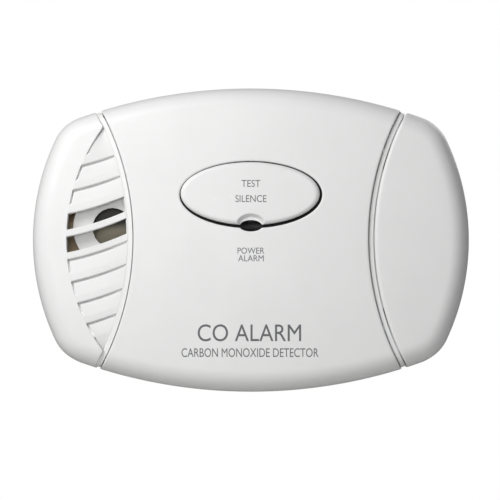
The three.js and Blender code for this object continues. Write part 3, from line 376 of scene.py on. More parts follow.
def run_of(x, z):
    """The length run along the outline that belongs to a place on its right half."""
    az = np.abs(z)
    top = np.arctan2(az - top_z, x)
    side = np.arctan2(az, x - side_x)
    corner = np.arctan2(az - corner_z, x - corner_x)
    run = np.where(side < SIDE_END, SIDE_RADIUS * side, SIDE_RUN + CORNER_RADIUS * (corner - SIDE_END))
    run = np.where(top > TOP_END, SIDE_RUN + CORNER_RUN + TOP_RADIUS * (top - TOP_END), run)
    return np.sign(z) * run


SEAM_APEX = 38.8
SEAM_RADIUS = 90.0
SEAM_HALF = 0.15  # half the gap between a seam's two edges


def seam(z, offset=0.0):
    """Distance of a seam from the middle at a height: an arc that bulges to the middle, moved
    outwards by an offset."""
    return SEAM_APEX + SEAM_RADIUS - np.sqrt((SEAM_RADIUS - offset) ** 2 - z**2)


def height_at(inset, curve):
    """The height above the middle at which a curve x(z) lies a given inset from the top edge."""
    z = HALF_HEIGHT - np.asarray(inset, float) - 4.0
    for _ in range(60):
        z = z + 0.8 * (inset_and_normal(curve(z), z)[0] - inset)
    return z


def quarter(radius, steps):
    """A quarter round as two lists, from the edge inwards to the face: the distance from the
    edge and how far below the face it lies."""
    angle = np.linspace(0.0, np.pi / 2, steps + 1)
    return radius * (1 - np.cos(angle)), radius * (1 - np.sin(angle))


ROLL = EDGE_RADIUS * (1 - np.cos(np.linspace(np.pi / 2, 0, 13)))  # insets over the rounded edge
WALL_STEPS = np.linspace(0, 1, 5)[1:]  # down the side wall


def fill_column(curve, skirt, share):
    """Rows of a column that runs over the case from its lower edge to its upper edge along a
    curve x(z): height, and how far below the rounded edge. `share` spreads the rows between."""
    heights = [height_at(b, curve) for b in ROLL[1:]]
    flat_top = height_at(EDGE_RADIUS, curve)
    edge = heights[-1]
    edge_depth = -dome(curve(edge), edge)[..., 1]
    down = [(edge_depth - skirt) * w for w in WALL_STEPS]
    z = [-edge] * len(down) + [-h for h in heights[::-1]] + [flat_top * s for s in share]
    z += heights + [edge] * len(down)
    below = down[::-1] + [0 * edge] * (len(z) - 2 * len(down)) + down
    return np.stack(z), np.stack(below)


def joined(name, patches, material, wall=0.0, inward=()):
    """One object from patches, each a grid of points, or a grid with a mask of the cells to
    keep. Every patch is turned to face away from the case's inside, the ones numbered in
    `inward` towards their own middle. Points that meet are merged. A wall is added inwards."""
    points, faces, first = [], [], 0
    for number, patch in enumerate(patches):
        grid, keep = patch if isinstance(patch, tuple) else (patch, None)
        rows, columns = grid.shape[:2]
        index = first + np.arange(rows * columns).reshape(rows, columns)
        quads = np.stack([index[:-1, :-1], index[:-1, 1:], index[1:, 1:], index[1:, :-1]], -1)
        quads = quads[keep] if keep is not None else quads.reshape(-1, 4)
        flat = grid.reshape(-1, 3)
        a, b, c, d = (flat[quads[:, k] - first] for k in range(4))
        normal = np.cross(c - a, d - b)
        middle = (a + c) / 2
        inside = middle.mean(0) if number in inward else np.array([0.0, 500.0, 0.0])
        outwards = np.sum(normal * (middle - inside))
        if (outwards < 0) != (number in inward):
            quads = quads[:, ::-1]
        faces.append(quads)
        points.append(flat)
        first += rows * columns
    points, faces = np.concatenate(points), np.concatenate(faces)
    _, found, inverse = np.unique(np.round(points, 3), axis=0, return_index=True, return_inverse=True)
    faces = inverse.reshape(-1)[faces]
    same_next = faces == np.roll(faces, -1, axis=1)
    crossed = (faces[:, 0] == faces[:, 2]) | (faces[:, 1] == faces[:, 3])
    sound = (same_next.sum(1) < 2) & ~crossed
    faces, same_next = faces[sound], same_next[sound]
    used, renumbered = np.unique(faces, return_inverse=True)
    faces = renumbered.reshape(faces.shape)
    corners = [
        [v for v, drop in zip(face, repeat) if not drop]
        for face, repeat in zip(faces.tolist(), same_next.tolist())
    ]
    piece = place_mesh(name, points[found][used], corners, material)
    if wall:
        thick = piece.modifiers.new("wall", "SOLIDIFY")
        thick.thickness = wall * MM
        thick.offset = -1.0
    return piece


# ---------------------------------------------------------------------------------------------
# Face panel: a thin hourglass-shaped moulding over the middle of the case, snapped on with four
# pins. It has an oval hole for the button that opens below into the indicator's small hole.
PANEL_SKIRT = -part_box("face_panel")[1].y / MM
PANEL_EDGE = 0.45
PANEL_WALL = 1.8
HOLE_Z = 14.5
HOLE_A, HOLE_B = 23.5, 11.1  # half width and half height
LAMP_Z, LAMP_A, LAMP_B = 4.2, 3.8, 1.85


def ray_oval(angle, from_x, from_z, oval_z, half_width, half_height, far=True):
    """Distance along a ray to an oval's near or far side; not a number where it misses."""
    dx, dz, oz = np.cos(angle), np.sin(angle), from_z - oval_z
    a = (dx / half_width) ** 2 + (dz / half_height) ** 2
    b = 2 * (from_x * dx / half_width**2 + oz * dz / half_height**2)
    c = (from_x / half_width) ** 2 + (oz / half_height) ** 2 - 1
    with np.errstate(invalid="ignore"):
        root = np.sqrt(b**2 - 4 * a * c)
    return (-b + root if far else -b - root) / (2 * a)


def closed_normals(x, z):
    """Outward unit normals of a closed line of points, as two arrays."""
    tx, tz = np.roll(x, -1) - np.roll(x, 1), np.roll(z, -1) - np.roll(z, 1)
    size = np.hypot(tx, tz)
    return tz / size, -tx / size


def cut_hole(x, z, sunk, reach, middle_z, half_x, half_z, edge, wall):
    """A hole in a grid: the cells of a block round it are dropped, and rings of points run from
    the block's border to the hole's edge at distance reach(angle), over the edge and down."""
    rows = np.flatnonzero(np.abs(z[:, z.shape[1] // 2] - middle_z) < half_z)
    columns = np.flatnonzero(np.abs(x[x.shape[0] // 2]) < half_x)
    r0, r1, c0, c1 = rows[0], rows[-1], columns[0], columns[-1]
    keep = np.ones((z.shape[0] - 1, z.shape[1] - 1), bool)
    keep[r0:r1, c0:c1] = False
    lower, right = np.arange(c0, c1), np.arange(r0, r1)
    upper, left = np.arange(c1, c0, -1), np.arange(r1, r0, -1)
    at_row = np.concatenate([0 * lower + r0, right, 0 * upper + r1, left])
    at_column = np.concatenate([lower, 0 * right + c1, upper, 0 * left + c0])
    bx, bz = x[at_row, at_column], z[at_row, at_column]
    angle = np.arctan2(bz - middle_z, bx)
    ex, ez = reach(angle) * np.cos(angle), middle_z + reach(angle) * np.sin(angle)
    ox, oz = closed_normals(ex, ez)
    back, drop = quarter(edge, 4)
    share = np.linspace(0, 1, 11)[:, None]
    ring_x = bx + share * (ex + ox * edge - bx)
    ring_z = bz + share * (ez + oz * edge - bz)
    ring_x = np.concatenate([ring_x, ex + ox * back[::-1, None], ex[None]])
    ring_z = np.concatenate([ring_z, ez + oz * back[::-1, None], ez[None]])
    ring_sunk = np.concatenate([0 * share[:, 0], drop[::-1], [wall]])[:, None] + sunk
    rings = dome(ring_x, ring_z, ring_sunk)
    return keep, np.concatenate([rings, rings[:, :1]], axis=1)


def hole_reach(angle):
    """Edge of the button's hole: the oval, or the indicator's hole where it reaches further."""
    oval = ray_oval(angle, 0.0, HOLE_Z, HOLE_Z, HOLE_A, HOLE_B)
    return np.fmax(oval, ray_oval(angle, 0.0, HOLE_Z, LAMP_Z, LAMP_A, LAMP_B))


def panel_patches():
    """Columns run from seam to seam, rows over the case; the edges at the seams are rounded."""
    across = np.linspace(-1, 1, 161)
    back, drop = quarter(PANEL_EDGE, 4)
    inside = np.concatenate([[0.0], back[:-1], np.full(across.shape, PANEL_EDGE), back[-2::-1], [0.0]])
    sunk = np.concatenate([[PANEL_WALL], drop[:-1], 0 * across, drop[-2::-1], [PANEL_WALL]])
    share = np.concatenate([-np.ones(len(back)), across, np.ones(len(back))])

    def curve(z):
        return share * seam(z, -SEAM_HALF - inside)

    z, below = fill_column(curve, PANEL_SKIRT, np.linspace(-1, 1, 141))
    x = share * seam(z, -SEAM_HALF - inside)
    keep, rings = cut_hole(x, z, 0.0, hole_reach, HOLE_Z, 26.5, 14.6, PANEL_EDGE, PANEL_WALL)
    return [(dome(x, z, sunk, below), keep), rings]


face_panel = joined("face_panel_skin", panel_patches(), WHITE_CASE, wall=0.9)
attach(face_panel, "alarm")
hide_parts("face_panel")

# ---------------------------------------------------------------------------------------------
# Front cover: the shell behind the panel and the door. At the left it is the wing itself, with
# a lens-shaped field of curved louvres; along both seams it shows as a sunken channel.
CHANNEL_DEPTH = 1.2
FOOT = 1.8  # from a seam to the foot of a wing
WING_EDGE = 1.0
DECK = 2.1  # the ledge that the panel and the door lie on
LENS_APEX, LENS_RADIUS = 60.8, 62.7
RIB_PITCH, RIB_WIDTH, RIB_RADIUS = 7.52, 2.3, 89.0
RIB_CENTRE_X, RIB_LEVEL, RIB_CROSSING_X = -77.8, 3.5, -49.7
RIBS_ABOVE, RIBS_BELOW = 3, 4
GROOVE_DEPTH = 1.5
WINDOW_DEPTH = 4.1
OPEN_FIELDS = (0, 1)
TIP_FLOOR = 3.2  # depth of the floor under the lens's two tips


def lens_left(z):
    """Left edge of the louvred lens, an arc that bulges to the left (x is counted leftwards)."""
    return LENS_APEX - LENS_RADIUS + np.sqrt(LENS_RADIUS**2 - z**2)


def crossing(first, second, low, high):
    """The height where two curves cross, by halving."""
    for _ in range(50):
        middle = (low + high) / 2
        low, high = (middle, high) if first(middle) > second(middle) else (low, middle)
    return low


LENS_TIP = crossing(lens_left, lambda z: seam(z, FOOT), 20.0, 45.0)


def wing_foot(z):
    """Inner edge of the left wing, counted leftwards: the lens, and the seam beyond its tips."""
    inside_lens = np.abs(z) < LENS_TIP
    return np.where(inside_lens, lens_left(np.clip(z, -LENS_TIP, LENS_TIP)), seam(z, FOOT))


def wing_round(z):
    """Radius of the wing's inner edge: it grows from nothing at the lens's tips."""
    return 0.45 * np.clip((np.abs(z) - LENS_TIP) / 1.5, 0.1, 1.0)


def crescent(inner, radius, share, skirt, sunk=0.0, from_z=None):
    """The part of the right half between a curve x(z) = inner + radius and the outline: rows
    climb the side wall, roll over the edge and shrink to the curve."""
    def curve(z):
        return inner(z) + radius(z)

    def row(inset):
        end = height_at(inset, curve)
        last = run_of(curve(end), end)
        if from_z is None:
            return rim(share * last, inset)
        start = SIDE_RADIUS * np.arcsin(from_z / (SIDE_RADIUS - inset))
        return rim(start + share * (last - start), inset)

    edge_x, edge_z = row(0.0)
    edge_depth = -dome(edge_x, edge_z)[..., 1]
    rows = [dome(edge_x, edge_z, sunk, (edge_depth - skirt) * w) for w in WALL_STEPS[::-1]]
    rows += [dome(*row(inset), sunk) for inset in ROLL[::-1]]
    flat_x, flat_z = row(EDGE_RADIUS)
    flat_top = height_at(EDGE_RADIUS, curve)
    low = 0.0 if from_z is None else from_z
    line_z = low + share * (flat_top - low)
    line_x = curve(line_z)
    for t in np.linspace(0, 1, 25)[1:]:
        rows.append(dome(flat_x + t * (line_x - flat_x), flat_z + t * (line_z - flat_z), sunk))
    return np.stack(rows)


def smooth(t):
    """A smooth step of t from 0 to 1."""
    t = np.clip(t, 0.0, 1.0)
    return t * t * (3 - 2 * t)


def shallower(x, z):
    """Share of a channel's full depth: it runs out shallower towards the case's edge."""
    return 0.45 + 0.55 * smooth(inset_and_normal(x, z)[0] / 5.0)


def edge_strip(inner, radius, share, skirt, foot_sunk, amount):
    """The rounded inner edge of a wing and the wall below it, from the lower to the upper rim."""
    back, drop = quarter(1.0, 6)
    near = np.concatenate([back[::-1], [0.0]])
    depth = np.concatenate([drop[::-1], [0.0]])

    def curve(z):
        return inner(z) + radius(z) * near

    z, below = fill_column(curve, skirt, share)
    fade = amount(z)
    x = inner(z) + radius(z) * near
    sunk = fade * radius(z) * depth
    sunk[:, -1] = (fade * (foot_sunk * shallower(x, z) + 0.4))[:, -1]
    return dome(x, z, sunk, below)


def mirrored(grid):
    """The same points on the left half."""
    return grid * np.array([-1.0, 1.0, 1.0])


WING_SHARE = np.linspace(-1, 1, 161)


def channel_strip(skirt, outer, floor_end, share):
    """A sunken channel along the right seam: it drops to the deck at both sides."""
    back, drop = quarter(0.2, 3)
    offset = np.concatenate([[SEAM_HALF], SEAM_HALF + back, np.linspace(SEAM_HALF + 0.3, floor_end, 4)])
    sunk = CHANNEL_DEPTH + np.concatenate([[1.2], drop, np.zeros(4)])
    if outer:
        offset = np.append(offset, floor_end)
        sunk = np.append(sunk, outer)

    def curve(z):
        return seam(z, offset)

    z, below = fill_column(curve, skirt, share)
    x = seam(z, offset)
    return dome(x, z, sunk - CHANNEL_DEPTH * (1 - shallower(x, z)), below)


def rib_line(x):
    """Height of the middle rib's lower edge where x is counted leftwards: an arc."""
    sag = np.sqrt(RIB_RADIUS**2 - (x + RIB_CENTRE_X) ** 2)
    return RIB_LEVEL + np.sqrt(RIB_RADIUS**2 - (RIB_CROSSING_X - RIB_CENTRE_X) ** 2) - sag


def louvre_patches():
    """The lens: rows follow the ribs, w above the middle rib's lower edge; columns run from the
    wing to the channel. Across one pitch the floor climbs gently from the crest of one rib to
    under the next, where a narrow groove undercuts it; the same groove runs down the wing's edge.
    The two fields at the middle rib are open, with walls down to the inside of the cover. A small
    floor closes the cover under each tip of the lens."""
    pitch = np.concatenate(
        [
            [0.0, 0.05, 0.14, 0.28, 0.5],
            np.linspace(0.8, RIB_WIDTH - 0.5, 4),
            [RIB_WIDTH - 0.2, RIB_WIDTH, RIB_WIDTH + 0.2, RIB_WIDTH + 0.5],
            np.linspace(RIB_WIDTH + 0.8, RIB_PITCH - 0.9, 10),
            RIB_PITCH - np.array([0.75, 0.66, 0.56, 0.4, 0.22, 0.1]),
        ]
    )
    tip_x = seam(LENS_TIP, FOOT)
    lowest, highest = -LENS_TIP - rib_line(tip_x), LENS_TIP - rib_line(tip_x)
    w = np.concatenate([rib * RIB_PITCH + pitch for rib in range(-6, 6)])
    w = np.concatenate([[lowest], w[(w > lowest + 0.05) & (w < highest - 0.05)], [highest]])[:, None]
    near = np.array([0.0, 0.05, 0.12, 0.2, 0.36, 0.48, 0.58, 0.7])
    share = np.concatenate([np.linspace(0, 0.97, 58), [0.98, 0.99, 1.0]])
    x = np.full((len(w), len(near) + len(share) - 1), 50.0)
    for _ in range(80):
        z = np.clip(rib_line(x) + w, -LENS_TIP, LENS_TIP)
        left, width = lens_left(z), lens_left(z) - seam(z, FOOT)
        step = np.minimum(near, 0.5 * width[:, : len(near)])
        start = step[:, -1:]
        inner = start + share[1:] * (width[:, len(near) :] - start)
        x = 0.5 * x + 0.5 * (left - np.concatenate([step, inner], axis=1))
    z = rib_line(x) + w
    clipped = np.clip(z, -LENS_TIP, LENS_TIP)
    from_wing = lens_left(clipped) - x
    width = np.maximum(lens_left(clipped) - seam(clipped, FOOT), 0.05)
    across = np.clip(from_wing / width, 0.0, 1.0)
    crest = CHANNEL_DEPTH * across + 0.4 * across * (1 - across)
    rib = np.floor(w / RIB_PITCH + 1e-6)
    above = w - rib * RIB_PITCH
    under_rib = (rib >= -RIBS_BELOW - 1) & (rib < RIBS_ABOVE)
    on_rib = (rib >= -RIBS_BELOW) & (rib <= RIBS_ABOVE)
    top_field = RIBS_ABOVE * RIB_PITCH + RIB_WIDTH
    over_top, below_all = w > top_field, w < -RIBS_BELOW * RIB_PITCH - RIB_PITCH + RIB_WIDTH
    climb = np.clip((above - RIB_WIDTH) / (RIB_PITCH - RIB_WIDTH), 0.0, 1.0)
    climb = np.where(over_top, (w - top_field) / (highest - top_field), np.where(below_all, 0.0, climb))
    level = 0.75 * climb * (1 - across**3)
    to_next = RIB_PITCH - above
    groove = np.interp(to_next, [0.0, 0.1, 0.56, 0.66, 0.75], [0.6, 1.0, 1.0, 0.6, 0.0])
    groove = groove * under_rib * smooth((width - from_wing) / 0.5)
    beside = np.interp(from_wing, [0.0, 0.05, 0.12, 0.48, 0.58, 0.7], [0.0, 0.2, 1.0, 1.0, 0.5, 0.0])
    reach = smooth((above - RIB_WIDTH - 0.6) / 0.9)
    reach = np.where(over_top, smooth((w - top_field - 0.6) / 0.9), np.where(below_all, 1.0, reach))
    lip = np.interp(above, [0.0, 0.05, 0.14, 0.28], [0.4, 0.15, 0.04, 0.0]) * on_rib * (1 - across**3)
    sunk = crest + level + GROOVE_DEPTH * np.maximum(groove, beside * reach)
    sunk = sunk + lip * smooth(from_wing / 0.2)
    keep = np.ones((len(w) - 1, x.shape[1] - 1), bool)
    holes = []
    for number in OPEN_FIELDS:
        top = number * RIB_PITCH
        r0 = int(np.argmin(np.abs(w[:, 0] - (top - RIB_PITCH + RIB_WIDTH))))
        r1 = int(np.argmin(np.abs(w[:, 0] - top)))
        c0, c1 = 2, x.shape[1] - 3
        keep[r0:r1, c0:c1] = False
        lower, right = np.arange(c0, c1), np.arange(r0, r1)
        upper, left = np.arange(c1, c0, -1), np.arange(r1, r0 - 1, -1)
        at_row = np.concatenate([0 * lower + r0, right, 0 * upper + r1, left])
        at_column = np.concatenate([lower, 0 * right + c1, upper, 0 * left + c0])
        hx, hz, hs = x[at_row, at_column], z[at_row, at_column], sunk[at_row, at_column]
        depth = hs + np.linspace(0, 1, 6)[:, None] * (WINDOW_DEPTH - hs)
        holes.append(mirrored(dome(hx, hz, depth)))
    under_z = np.linspace(LENS_TIP - 3.0, LENS_TIP + 1.5, 10)[:, None]
    under_x = seam(under_z, FOOT - 0.1) + np.linspace(0, 1.3, 4)
    tips = [mirrored(dome(under_x, sign * under_z, TIP_FLOOR)) for sign in (-1, 1)]
    return (mirrored(dome(x, z, sunk)), keep), holes, tips


def lens_or_seam_amount(z):
    """1 where the wing's inner edge drops to the channel, 0 along the lens."""
    return np.where(np.abs(z) > LENS_TIP + 0.05, 1.0, 0.0)


def band_patch():
    """The cover's own edge above and below the panel, behind the panel's skirt."""
    share = np.linspace(-1, 1, 121)
    x = share * seam(height_at(0.0, lambda z: seam(z, 0.3)), 0.3)
    z = top_z + np.sqrt(TOP_RADIUS**2 - x**2)
    face = -dome(x, z)[..., 1]
    step = PANEL_SKIRT - 0.3
    levels = np.array([PARTING, 17.0, 20.0, 23.0, step - 0.3, step - 0.1, step])
    inward = np.array([0.0, 0.0, 0.0, 0.0, 0.0, 0.06, 0.3])
    rows = [dome(x, z, s, face - level) for level, s in zip(levels, inward)]
    rows.append(dome(x, z, DECK, face - step))
    return np.stack(rows)


def cover_patches():
    """All patches of the cover; the numbers of those that face their own middle come second."""
    lens, windows, tips = louvre_patches()
    wing = mirrored(crescent(wing_foot, wing_round, WING_SHARE, PARTING))
    strip = edge_strip(wing_foot, wing_round, WING_SHARE, PARTING, CHANNEL_DEPTH, lens_or_seam_amount)
    strip = mirrored(strip)
    along = np.linspace(-1, 1, 121)
    left_channel = mirrored(channel_strip(PARTING, 0.0, FOOT, along))
    right_channel = channel_strip(PARTING, DECK, 1.6, along)
    top_band = band_patch()
    bottom_band = top_band * np.array([1.0, 1.0, -1.0])
    across = np.linspace(-1, 1, 61)

    def curve(z):
        return across * seam(z, 0.1)

    z, below = fill_column(curve, PANEL_SKIRT, np.linspace(-1, 1, 61))
    x = across * seam(z, 0.1)
    half_x, half_z = HOLE_A + 2.0, HOLE_B + 2.0
    keep, rings = cut_hole(
        x, z, DECK,
        lambda angle: ray_oval(angle, 0.0, HOLE_Z, HOLE_Z, half_x, half_z),
        HOLE_Z, half_x + 3, half_z + 3, 0.2, 2.0,
    )
    deck = (dome(x, z, DECK, below), keep)
    upright = np.linspace(0, 1, 30)
    ledge = crescent(lambda z: seam(z, 1.6), lambda z: 0 * z, upright, PARTING, DECK, from_z=30.0)
    lower_ledge = ledge * np.array([1.0, 1.0, -1.0])
    side = np.linspace(-30.0, 30.0, 41)[:, None]
    slip = np.linspace(0, 1, 5)
    jamb_x = seam(side, 1.6) + slip * (43.6 - seam(side, 1.6))
    jamb = dome(jamb_x, side, DECK)
    patches = [lens, wing, strip, left_channel, right_channel, top_band, bottom_band, deck, rings]
    patches += [ledge, lower_ledge, jamb] + tips
    return patches + windows, (len(patches), len(patches) + 1)


patches, facing_in = cover_patches()
front_cover = joined("front_cover_skin", patches, WHITE_CASE, wall=0.8, inward=facing_in)
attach(front_cover, "alarm")
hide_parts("front_cover")

# ---------------------------------------------------------------------------------------------
# Battery door: the right wing, a thin moulding that slides off sideways. Its inner edge is
# rounded like the left wing's; two hooks behind it catch the cover's battery opening.
DOOR_FOOT = 1.9


def door_patches():
    """The same crescent as the left wing, with a plain rounded edge along the channel."""
    along = np.concatenate([-np.linspace(0, 1, 76)[:0:-1], np.linspace(0, 1, 76)])

    def foot(z):
        return seam(z, DOOR_FOOT)

    def radius(z):
        return 0 * z + WING_EDGE

    face = crescent(foot, radius, along, PARTING)
    edge = edge_strip(foot, radius, along, PARTING, 1.8, lambda z: 0 * z + 1.0)
    return [face, edge]


battery_door = joined("battery_door_skin", door_patches(), WHITE_CASE, wall=1.2)
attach(battery_door, "door")


def box_patch(low, high):
    """A closed box as one grid: a square profile round the X axis, with both ends drawn
    together to their middles."""
    (x0, y0, z0), (x1, y1, z1) = low, high
    loop_y = np.array([y0, y1, y1, y0, y0])
    loop_z = np.array([z0, z0, z1, z1, z0])
    x = np.array([x0, x0, x1, x1])[:, None]
    tight = np.array([0.0, 1.0, 1.0, 0.0])[:, None]
    y = (y0 + y1) / 2 + tight * (loop_y - (y0 + y1) / 2)
    z = (z0 + z1) / 2 + tight * (loop_z - (z0 + z1) / 2)
    return np.stack(np.broadcast_arrays(x, y, z), -1)


def rounded_box(name, low, high, material, bevel=0.3):
    """A box with bevelled edges."""
    piece = joined(name, [box_patch(low, high)], material)
    round_off = piece.modifiers.new("edges", "BEVEL")
    round_off.width = bevel * MM
    round_off.segments = 2
    return piece


for number, up in enumerate((-1, 1)):
    z = up * 18.0
    riser = seam(22.0, 1.9) + 1.4
    face = float(-dome(riser, z)[1])
    ledge_depth = float(-dome(43.6, z, 4.1)[1])
    hook_post = rounded_box(
        f"door_hook_post_{number + 1}",
        (riser - 1, -(face - 1.4), z - 4),
        (riser + 1, -(ledge_depth - 1.7), z + 4),
        WHITE_CASE,
        0.2,
    )
    hook_foot = rounded_box(
        f"door_hook_foot_{number + 1}",
        (riser - 4.9, -(ledge_depth - 0.3), z - 4),
        (riser + 0.1, -(ledge_depth - 1.7), z + 4),
        WHITE_CASE,
        0.2,
    )
    door_fin = rounded_box(
        f"door_fin_{number + 1}",
        (62.6, -28.0, up * 12 - 0.8),
        (69.6, -16.2, up * 12 + 0.8),
        WHITE_CASE,
        0.2,
    )
    for piece in (hook_post, hook_foot, door_fin):
        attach(piece, "door")
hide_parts("battery_door")

# ---------------------------------------------------------------------------------------------
# Test button: an oval cap that stands just proud of the panel, with a softly rolled edge and a
# scoop at its lower edge for the indicator. Two legs and a post behind it guide it.
# The flange is coloured near black as painted shadow: it stands for the shade in the gap round the
# button.
FLANGE_PAINTED_SHADOW = moulded_plastic("flange_painted_shadow_black", (0.004, 0.004, 0.004), 0.7)
BUTTON_X, BUTTON_Z = -0.25, 14.875
BUTTON_A, BUTTON_B = 22.9, 10.375
BUTTON_PROUD = 0.5
BUTTON_ROLL = 1.7


def button_patches():
    """A polar grid: rays from the middle to the edge, which is the oval or the near side of the
    indicator's hole. The face lies proud of the case's skin, rolls down at the edge, and dips in
    a scoop between two ovals round the indicator."""
    near_notch = np.linspace(-0.6, 0.6, 201)
    angle = np.concatenate([near_notch, np.linspace(0.6, 2 * np.pi - 0.6, 321)[1:]]) - np.pi / 2
    oval = 1 / np.hypot(np.cos(angle) / BUTTON_A, np.sin(angle) / BUTTON_B)
    lamp = ray_oval(angle, BUTTON_X, BUTTON_Z, LAMP_Z, LAMP_A - 0.1, LAMP_B + 0.1, far=False)
    reach = np.fmin(oval, np.where(np.sin(angle) < 0, lamp, np.nan))
    far_rows = np.linspace(0.02, 1, 26)[:, None]
    flat = 4.5
    rows = far_rows * (reach - flat)
    close = reach - flat * (1 - np.linspace(0, 1, 40)[1:, None])
    radius = np.concatenate([rows, close])
    x = BUTTON_X + radius * np.cos(angle)
    z = BUTTON_Z + radius * np.sin(angle)
    shape = np.hypot((x - BUTTON_X) / BUTTON_A, (z - BUTTON_Z) / BUTTON_B)
    oval_reach = BUTTON_A * BUTTON_B / np.hypot(BUTTON_B * np.cos(angle), BUTTON_A * np.sin(angle))
    from_edge = (1 - shape) * oval_reach
    slope = np.clip(1 - from_edge / BUTTON_ROLL, 0.0, 1.0)
    rolled = BUTTON_ROLL * (1 - np.sqrt(1 - np.minimum(slope, 0.985) ** 2)) * 0.8
    oval_at = np.hypot(x / (LAMP_A + 1.1), (z - LAMP_Z) / (LAMP_B + 2.1))
    oval_in = LAMP_A / (LAMP_A + 1.1)
    scoop = 1.5 * smooth((1.06 - oval_at) / (1.06 - oval_in + 0.06))
    sunk = np.maximum(rolled, scoop) - BUTTON_PROUD
    face = dome(x, z, sunk)
    centre = np.broadcast_to(dome(BUTTON_X, BUTTON_Z, -BUTTON_PROUD), (1, len(angle), 3))
    last_x, last_z = x[-1], z[-1]
    wall = [dome(last_x, last_z, s) for s in (2.2, 3.2)]
    return [np.concatenate([centre, face, np.stack(wall)])]


test_button = joined("test_button_cap", button_patches(), WHITE_CASE, wall=1.1)
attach(test_button, "button")


def flange_patch():
    """The oval flange behind the panel that stops the button from coming out: a ring round the
    cap's inside, turned once round its square section."""
    turn = np.linspace(0, 2 * np.pi, 121)
    front, back = 34.9, 33.7
    outer_a, outer_b = HOLE_A + 1.2, HOLE_B + 1.2
    inner_a, inner_b = BUTTON_A - 1.0, BUTTON_B - 1.0
    lane = [(outer_a, outer_b, 0, back), (outer_a, outer_b, 0, front), (inner_a, inner_b, 1, front)]
    lane += [(inner_a, inner_b, 1, back), (outer_a, outer_b, 0, back)]
    rows = []
    for half_width, half_height, own, depth in lane:
        x = BUTTON_X * own + half_width * np.cos(turn)
        z = HOLE_Z + (BUTTON_Z - HOLE_Z) * own + half_height * np.sin(turn)
        rows.append(np.stack([x, 0 * x - depth, z], -1))
    return np.stack(rows)


def rod_patch(x, z, radius, back, front):
    """A closed rod along Y: circles from one end's middle over the rim to the other end's."""
    turn = np.linspace(0, 2 * np.pi, 33)
    lane = [(0, back), (radius - 0.2, back), (radius, back + 0.2)]
    lane += [(radius, front - 0.2), (radius - 0.2, front), (0, front)]
    rows = [
        np.stack([x + r * np.cos(turn), 0 * turn - depth, z + r * np.sin(turn)], -1)
        for r, depth in lane
    ]
    return np.stack(rows)


# Near-black flange: painted shadow in the button's gap.
button_flange = joined("test_button_flange", [flange_patch()], FLANGE_PAINTED_SHADOW)
button_back = [
    joined(name, [rod_patch(x, z, radius, back, 35.8)], WHITE_CASE)
    for name, x, z, radius, back in (
        ("test_button_leg_left", -17.0, 14.5, 1.5, 15.9),
        ("test_button_leg_right", 17.0, 14.5, 1.5, 15.9),
        ("test_button_post", 0.0, 17.0, 2.1, 26.8),
    )
]
for piece in [button_flange] + button_back:
    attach(piece, "button")
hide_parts("test_button")

# ---------------------------------------------------------------------------------------------
# Printing: thin grey pad printing on the button and the panel, in plain words.


def ink_material():
    """Grey printing ink, slightly uneven where the grain shows through."""
    material, nodes, links, shader = plain_material("grey_ink", (0.16, 0.16, 0.17), 0.5)
    texture = use_group(nodes, GRAIN_GROUP, Size=0.25)
    thin = ramp_node(nodes, links, texture.outputs["Height"], 0.3, 0.75)
    ink = mix_colour(nodes, links, thin, (0.11, 0.11, 0.12), (0.17, 0.17, 0.18))
    links.new(ink, shader.inputs["Base Color"])
    return material


GREY_INK = ink_material()


def print_words(name, words, x, z, height, width, proud, body):
    """A line of text as a flat mesh of the given height and width, laid on the case's skin."""
    curve = bpy.data.curves.new(name, "FONT")
    curve.body = words
    curve.align_x = "CENTER"
    curve.resolution_u = 6
    text = bpy.data.objects.new(name, curve)
    bpy.context.scene.collection.objects.link(text)
    mesh = bpy.data.meshes.new_from_object(text.evaluated_get(bpy.context.evaluated_depsgraph_get()))
    bpy.data.objects.remove(text)
    flat = np.empty(len(mesh.vertices) * 3)
    mesh.vertices.foreach_get("co", flat)
    flat = flat.reshape(-1, 3)
    low, high = flat.min(0), flat.max(0)
    px = x + ((flat[:, 0] - low[0]) / (high[0] - low[0]) - 0.5) * width
    pz = z + ((flat[:, 1] - low[1]) / (high[1] - low[1]) - 0.5) * height
    mesh.vertices.foreach_set("co", (dome(px, pz, -0.02 - proud) * MM).ravel())
    mesh.materials.clear()
    mesh.materials.append(GREY_INK)
    mesh.update()
    if sum(p.normal.y * p.area for p in mesh.polygons) > 0:
        mesh.flip_normals()
    piece = bpy.data.objects.new(name, mesh)
    bpy.context.scene.collection.objects.link(piece)
    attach(piece, body)


print_words("print_test", "TEST", 0.0, 18.1, 2.3, 6.2, BUTTON_PROUD, "button")
print_words("print_silence", "SILENCE", 0.0, 13.1, 2.3, 10.2, BUTTON_PROUD, "button")
print_words("print_power", "POWER", 0.0, -4.0, 2.0, 8.8, 0.0, "alarm")
print_words("print_alarm", "ALARM", 0.0, -6.5, 2.0, 8.4, 0.0, "alarm")
print_words("print_name", "CO ALARM", -0.5, -31.0, 5.6, 34.0, 0.0, "alarm")
print_words("print_kind", "CARBON MONOXIDE DETECTOR", -0.3, -37.5, 2.9, 45.0, 0.0, "alarm")

# ---------------------------------------------------------------------------------------------
# Finishes of the pieces inside and behind, which keep their modelled shapes.


